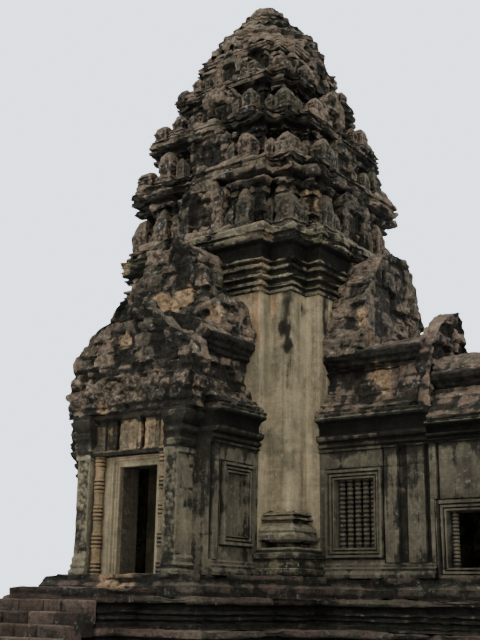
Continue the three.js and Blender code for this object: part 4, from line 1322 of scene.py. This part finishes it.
def lintel(face, wall, seed):
    """Decorative lintel, broken to upright stumps of different depth, under a plain band."""
    outer = PIER_INNER - GAP
    edges = (-outer, -0.9, -0.57, -0.36, 0.0, 0.36, 0.5, 0.85, outer)
    depths = np.array((0.12, 0.16, 0.24, 0.06, 0.04, 0.26, 0.05, 0.08))
    bare = np.array((0.0, 0.0, 0.0, 0.22, 0.25, 0.0, 0.35, 0.2))
    x = axis(edges, 0.05)
    z = axis([FRAME_TOP + GAP, 5.02, 5.1, 5.78, 5.86, CAPITAL_TOP], 0.05)
    grid_x, grid_z = np.meshgrid(x, z, indexing="ij")
    cell = np.clip(np.searchsorted(edges, grid_x, side="right") - 1, 0, len(depths) - 1)
    between = belt(4.98, 5.06, 5.78, 5.84, grid_z)
    depth = 0.04 + (depths[cell] + 0.03 * np.abs(np.sin(grid_x * 14.5))) * between
    patch = door_plate(grid_x, grid_z, depth, face, wall).weather(STUMPS, seed)
    # Painted shade under the pediment at the top and darker where a stump is set further back; darker also at the foot
    # band
    patch.stain_and_shade(crust_and_shade=0.4 * smooth(5.7, 5.86, grid_z) + 0.5 * (1 - smooth(4.94, 5.02, grid_z)))
    return patch.stain_and_shade(crust_and_shade=(2.2 * depths[cell] - 0.12) * between, fresh=bare[cell] * between, carved=0.5)


# Ruined front pediment: height over its foot, left and right half width
PEDIMENT = [
    (0, 2.08, 2.1), (0.25, 2.12, 2.14), (0.7, 2.1, 2.1), (1.3, 2.0, 2.1), (1.55, 1.98, 2.06), (1.75, 1.7, 1.95),
    (2.0, 1.5, 1.6), (2.18, 1.4, 1.25), (2.4, 1.2, 1.0), (2.47, 0.75, 0.75), (2.75, 0.6, 0.5), (3.02, 0.46, 0.38),
    (3.11, 0.2, 0.2),
]


def pediment(face, wall, foot, peak, seed):
    """Ruined front pediment: stacked blocks in an uneven pointed outline."""
    rise = (peak - foot) / PEDIMENT[-1][0]
    outline = [(foot + h * rise, -left, right) for h, left, right in PEDIMENT]
    patch = loaf(outline, -face - 0.06, -wall - GAP, 0.085, 0.075).weather(RUBBLE, seed)
    z = patch.points[..., 2]
    frieze = belt(foot + 0.22, foot + 0.3, foot + 0.9, foot + 1.1, z)
    groove = bell(z - foot - 0.18, 0.07) + 0.8 * bell(z - foot - 1.05, 0.06)
    patch.points[..., 1] += 0.07 * groove * (patch.points[..., 1] < -face + 0.2)
    # Painted shade in the carved grooves
    patch.stain_and_shade(crust_and_shade=0.45 * groove - 0.22 * frieze * (patch.points[..., 0] < 0.9), carved=0.4 + 0.5 * frieze)
    for breaks in (
        [(-0.97, -face, foot + 0.19, 0.32, 0.9), (0.15, -face, foot + 0.6, 0.7, 0.3)],
        [(-0.24, -face, foot + 1.9, 0.36, 0.6), (1.05, -face, foot + 0.93, 0.3, 0.4)],
    ):
        patch.stain_and_shade(fresh=spots(patch.points, breaks))
    return patch


# Cornice of the attic: height over its shoulder, and half width
ATTIC_CORNICE = ((-0.03, 1.8), (0, 1.88), (0.08, 1.9), (0.12, 1.84), (0.18, 1.94), (0.26, 1.96), (0.32, 2.06))


def arm_roof(measures, near, far, seed, slabs=99.0):
    """Stepped foot, attic wall, attic cornice and vault, carried along the arm and closed underneath.

    Past the distance called slabs, smooth stones lie against the attic and slope straight down to the foot."""
    foot, attic, top, ridge = measures
    shoulder = top - 0.56
    half = [
        (1.3, foot), (2.36, foot), (2.38, foot + 0.1), (2.3, foot + 0.17), (2.2, foot + 0.2), (2.16, foot + 0.3),
        (2.02, foot + 0.34), (1.96, attic - 0.04), (1.8, attic),
    ]
    half += [(out, shoulder + up) for up, out in ATTIC_CORNICE]
    half += [(2.09, top - 0.12), (2.02, top - 0.04), (1.96, top)]
    half += [(1.56, top + 0.55 * (ridge - top)), (0.76, top + 0.9 * (ridge - top)), (0.0, ridge)]
    whole = half + [(-x, z) for x, z in reversed(half[:-1])]
    patch = vault(whole, near, far, 0.1, 0.075)
    x, y, z = np.moveaxis(patch.points.copy(), -1, 0)
    slope = 2.3 - 0.42 * np.clip((z - foot - 0.1) / (shoulder - foot - 0.1), 0, 1)
    laid = smooth(slabs, slabs + 0.12, -y) * (z > foot + 0.1) * (z < shoulder + 0.1)
    patch.points[..., 0] = np.sign(x) * (np.abs(x) + laid * np.maximum(slope - np.abs(x), 0))
    patch.weather(ROUGH, seed, mask=0.75 - 0.45 * laid)
    # Painted shade in the hollow under the attic cornice, where the slabs don't cover it
    hollow = belt(shoulder - 0.08, shoulder + 0.04, top - 0.1, top - 0.04, z)
    return patch.stain_and_shade(crust_and_shade=0.13 + 0.45 * hollow * (1 - laid), carved=0.4 * (1 - laid))


# Roofs: foot, foot of the attic wall, top of its cornice, and ridge
ROOFS = {
    "porch": (ROOF_FOOT, 6.75, 8.1, 8.74),
    "antechamber": (ROOF_FOOT, 6.7, 7.85, 8.2),
    "hall": (HALL_ROOF_FOOT, 6.1, 7.0, 7.7),
}
# Pilaster strips of a wall: far and near end, and how far they stand out
PORCH_STRIPS = ((5.395, 5.29, -0.05), (5.29, 5.1, 0.06), (5.1, 5.0, -0.06))
ROOM_STRIPS = ((5.3, 5.24, -0.05), (5.68, 5.3, 0.07), (5.95, 5.68, -0.07), (6.42, 5.95, 0.09), (6.54, 6.42, -0.05))
HALL_STRIPS = ((11.5, 11.2, 0.07), (11.2, 11.1, -0.05), (6.72, 6.5403, 0.06), (6.78, 6.72, -0.05))

# Windows of an arm: far and near end, sill, head, and whether it is cut through
PORCH_WINDOW = (4.70, 3.87, 2.91, 4.44, False)
ANTECHAMBER_WINDOW = (4.98, 3.83, 2.67, 4.40, True)
HALL_WINDOWS = ((8.19, 6.94, 2.17, 3.5, True), (10.54, 9.29, 2.17, 3.5, True))


def front_cheek(wall):
    """Front wall between a pier and the doorway."""
    return slab(DOOR_HALF, INSIDE, WALL_FOOT, DOOR_HEAD - GAP, -wall, -wall + WALL_DEPTH, 0.12, 0.2)


def front(name, quarter, wall, top, peak, seed):
    """Door frame with its colonnettes, lintel and pediment of one arm."""
    face = wall + FRONT_DEPTH
    frame_face = wall + DOOR_DEPTH
    radius = temple_sizes().colonnette
    x, y = PIER_INNER - radius - 0.012, -frame_face - radius + 0.012
    posts = [colonnette(side * x, y, WALL_FOOT, FRAME_TOP, radius, seed + side) for side in (LEFT, RIGHT)]
    over = slab(-INSIDE, INSIDE, DOOR_HEAD, top, -wall + SET_BACK, -wall + WALL_DEPTH, 0.3, 0.3)
    head = pediment(face, wall, CAPITAL_TOP + GAP, peak, seed + 2)
    for ending, parts, kind, node in (
        ("door_frame_stonework", [door_frame(frame_face, wall)], "ashlar", "door_frame"),
        ("colonnettes", posts, "turned", "door_frame"),
        ("lintel_stonework", [lintel(face, wall, seed), over], "carved", "lintel"),
        ("pediment_stonework", [head], "rubble", "pediment"),
    ):
        build(f"{name}_{ending}", parts, kind, [f"{name}_{node}"], quarter)


def lay_walls(node, quarter, side, walls, posts):
    """One node's wall and its pier, drawn for the right side of an arm along -Y and brought to their place."""
    for ending, parts, kind in (("stonework", walls, "wall"), ("pier", posts, "post")):
        if side < 0:
            parts = [part.mirrored() for part in parts]
        if parts:
            build(f"{node}_{ending}", parts, kind, [node], quarter)


class TEMPLE_OT_porches(Operator):
    """Builds the walls, piers, doorways, pediments and roofs of the three porches"""

    bl_idname = "temple.porches"
    bl_label = "Porches"

    def execute(self, context):
        for facing in ("south", "north", "west"):
            quarter = TURNS[facing]
            name = f"porch_{facing}"
            for label, side in (("right", RIGHT), ("left", LEFT)):
                seed = 70 + quarter * 4 + side
                wall = side_wall(BAY + GAP, FRONT_WALL, CORNICE_TOP, [PORCH_WINDOW], PORCH_STRIPS).weather(SMOOTH, seed)
                wall.stain_and_shade(crust_and_shade=wall_dirt_and_shade(wall.v, CORNICE_TOP) + 0.08)
                post = pier(FRONT_WALL + FRONT_DEPTH, FRONT_WALL, seed + 20)
                lay_walls(f"{name}_{label}_wall", quarter, side, [wall, front_cheek(FRONT_WALL)], [post])
            front(name, quarter, FRONT_WALL, CORNICE_TOP, 9.06, 90 + quarter * 5)
            roof = arm_roof(ROOFS["porch"], BAY + GAP, FRONT_WALL - SET_BACK, 120 + quarter)
            build(f"{name}_roof_stonework", [roof], "rubble", [f"{name}_roof"], quarter)
        return {"FINISHED"}


class TEMPLE_OT_hall(Operator):
    """Builds the antechamber and the hall with their roofs and the hall's doorway"""

    bl_idname = "temple.hall"
    bl_label = "Antechamber and hall"

    def execute(self, context):
        quarter = TURNS["east"]
        for label, side in (("right", RIGHT), ("left", LEFT)):
            room = side_wall(BAY + GAP, ANTECHAMBER_END, CORNICE_TOP, [ANTECHAMBER_WINDOW], ROOM_STRIPS)
            room.weather(SMOOTH, 140 + side)
            room.stain_and_shade(crust_and_shade=wall_dirt_and_shade(room.v, CORNICE_TOP) + 0.24 * (room.u < WALL_START - 5.2))
            room.stain_and_shade(crust_and_shade=-0.2 * smooth(WALL_START - 3.8, WALL_START - 3.6, room.u))
            hall = side_wall(ANTECHAMBER_END + GAP, HALL_END, HALL_CORNICE_TOP, HALL_WINDOWS, HALL_STRIPS)
            hall.weather(SMOOTH, 144 + side).stain_and_shade(crust_and_shade=0.14 + wall_dirt_and_shade(hall.v, HALL_CORNICE_TOP))
            post = pier(HALL_END + FRONT_DEPTH, HALL_END, 150 + side)
            lay_walls(f"antechamber_{label}_wall", quarter, side, [room], [])
            lay_walls(f"hall_{label}_wall", quarter, side, [hall, front_cheek(HALL_END)], [post])
        roof = arm_roof(ROOFS["antechamber"], BAY + GAP, 6.25, 160, 5.55)
        roof.stain_and_shade(fresh=spots(roof.points, [(-1.9, -5.0, 7.15, 0.5, 0.7), (-1.9, -5.25, 6.75, 0.35, 0.5)]))
        roof.stain_and_shade(crust_and_shade=spots(roof.points, [(-1.9, -4.2, 7.5, 0.9, 0.25)]))
        outline = [
            (ROOF_FOOT, -2.1, 2.1), (7.25, -2.1, 2.06), (7.6, -1.98, 1.5), (7.75, -1.9, 1.1), (7.83, -1.78, 0.33),
            (8.39, -1.26, 0.16), (8.76, -0.74, 0.05), (8.95, -0.32, -0.12),
        ]
        broken = loaf(outline, -ANTECHAMBER_END, -6.09, 0.09, 0.08).weather(ROUGH, 161)
        build("antechamber_roof_stonework", [roof, broken], "slabs", ["antechamber_roof"], quarter)
        roof = arm_roof(ROOFS["hall"], ANTECHAMBER_END + GAP, HALL_END - SET_BACK, 162, 0.0)
        build("hall_roof_stonework", [roof], "slabs", ["hall_roof"], quarter)
        front("hall", quarter, HALL_END, HALL_CORNICE_TOP, 8.5, 170)
        return {"FINISHED"}


class TEMPLE_OT_windows(Operator):
    """Sets the turned balusters in the open windows and leaves the broken ones out"""

    bl_idname = "temple.windows"
    bl_label = "Window balusters"

    def execute(self, context):
        quarter = TURNS["east"]
        radius = temple_sizes().baluster / 2
        both = (("south", LEFT), ("north", RIGHT))
        windows = [(f"antechamber_{label}", ANTECHAMBER_WINDOW, side) for label, side in both]
        for label, side in both:
            windows += [(f"hall_{label}_{end}", window, side) for end, window in zip(("west", "east"), HALL_WINDOWS)]
        for name, (far, near, sill, head, _), side in windows:
            places = near + (np.arange(5) + 0.5) / 5 * (far - near)
            left = places[:1] if name == "hall_south_west" else places
            posts = [self.baluster(side * (ARM - 0.2), -place, sill, head, radius) for place in left]
            build(f"{name}_balusters", posts, "baluster", quarter=quarter)
        return {"FINISHED"}

    def baluster(self, x, y, foot, top, radius):
        """Turned post: a row of rings between plain ends."""
        z = np.linspace(foot - 0.01, top + 0.01, 91)
        share = (z - foot) / (top - foot)
        rings = 0.5 + 0.5 * np.cos(share * 2 * math.pi * 15)
        r = radius * (0.74 + 0.26 * np.maximum(rings**0.6, (np.abs(share - 0.5) > 0.47)))
        post = lathe(x, y, r, z, 10, caps=True)
        post.u = np.broadcast_to(angles(10) * radius, post.v.shape)
        # Painted shade in the grooves between the rings
        return post.stain_and_shade(crust_and_shade=0.5 * (1 - rings))


# Stage


# Half the side of the plain floor
FLOOR_HALF = 400

# Camera place, and its turn, tilt and roll in degrees
CAMERA_PLACE = (17.5507, -24.9948)
CAMERA_TURN = (36.507, 15.4456, 0.946)

# Lamps: name, place, size and power, all aimed at one point; then the sky's colour and strength
AIM = (0, 0, 7)
LAMPS = (("key_light", (14, -30, 34), 10, 3600), ("fill_light", (-30, -18, 20), 14, 1200))
SKY, SKY_STRENGTH = (0.8, 0.88, 1.0, 1), 2.8


class TEMPLE_OT_stage(Operator):
    """Lays the plain floor, sets soft light and places the camera at the photograph's view"""

    bl_idname = "temple.stage"
    bl_label = "Stage"

    def execute(self, context):
        scene = context.scene
        mesh = bpy.data.meshes.new("floor")
        corners = box_plan(-FLOOR_HALF, -FLOOR_HALF, FLOOR_HALF, FLOOR_HALF)
        mesh.from_pydata([(x, y, 0) for x, y in corners], [], [(0, 1, 2, 3)])
        floor = bpy.data.objects.new("floor", mesh)
        scene.collection.objects.link(floor)
        g = Graph("floor_paint")
        mesh.materials.append(g.surface({"Base Color": rgba(scene.temple_colours.ground), "Roughness": 0.9}))
        self.camera(scene)
        scene.world = bpy.data.worlds.new("soft_sky")
        scene.world.use_nodes = True
        sky = scene.world.node_tree.nodes["Background"].inputs
        sky["Color"].default_value = SKY
        sky["Strength"].default_value = SKY_STRENGTH
        for lamp in LAMPS:
            self.lamp(*lamp)
        return {"FINISHED"}

    def camera(self, scene):
        """Turn, tilt and roll of the view are written out as the camera's own three directions."""
        yaw, pitch, roll = (math.radians(angle) for angle in CAMERA_TURN)
        ahead = Vector((-math.sin(yaw) * math.cos(pitch), math.cos(yaw) * math.cos(pitch), math.sin(pitch)))
        right = Vector((math.cos(yaw), math.sin(yaw), 0))
        over = right.cross(ahead)
        right, over = math.cos(roll) * right + math.sin(roll) * over, math.cos(roll) * over - math.sin(roll) * right
        data = bpy.data.cameras.new("camera")
        data.lens = temple_sizes().lens
        data.sensor_width = 36
        data.clip_end = 2000
        camera = bpy.data.objects.new("camera", data)
        turned = Matrix((right, over, -ahead)).transposed().to_4x4()
        camera.matrix_world = Matrix.Translation((*CAMERA_PLACE, temple_sizes().eye)) @ turned
        scene.collection.objects.link(camera)
        scene.camera = camera

    def lamp(self, name, place, size, power):
        data = bpy.data.lights.new(name, "AREA")
        data.size = size
        data.energy = power
        lamp = bpy.data.objects.new(name, data)
        lamp.location = place
        lamp.rotation_euler = (Vector(AIM) - Vector(place)).to_track_quat("-Z", "Y").to_euler()
        bpy.context.scene.collection.objects.link(lamp)


class TEMPLE_PT_panel(Panel):
    """Lists the sizes, the colours and the steps that build the temple"""

    bl_idname = "TEMPLE_PT_panel"
    bl_label = "Temple"
    bl_space_type = "VIEW_3D"
    bl_region_type = "UI"
    bl_category = "Temple"

    def draw(self, context):
        for group in (context.scene.temple_sizes, context.scene.temple_colours):
            for name in group.__annotations__:
                self.layout.prop(group, name)
        for operator in STEPS:
            self.layout.operator(operator.bl_idname)


STEPS = (
    TEMPLE_OT_stage,
    TEMPLE_OT_platform,
    TEMPLE_OT_corners,
    TEMPLE_OT_body,
    TEMPLE_OT_tiers,
    TEMPLE_OT_porches,
    TEMPLE_OT_hall,
    TEMPLE_OT_windows,
)
CLASSES = (TempleSizes, TempleColours, *STEPS, TEMPLE_PT_panel)


def register():
    for item in CLASSES:
        bpy.utils.register_class(item)
    bpy.types.Scene.temple_sizes = PointerProperty(type=TempleSizes)
    bpy.types.Scene.temple_colours = PointerProperty(type=TempleColours)


def unregister():
    del bpy.types.Scene.temple_colours
    del bpy.types.Scene.temple_sizes
    for item in reversed(CLASSES):
        bpy.utils.unregister_class(item)


def main():
    register()
    for operator in STEPS:
        group, name = operator.bl_idname.split(".")
        getattr(getattr(bpy.ops, group), name)()


if __name__ == "__main__":
    main()
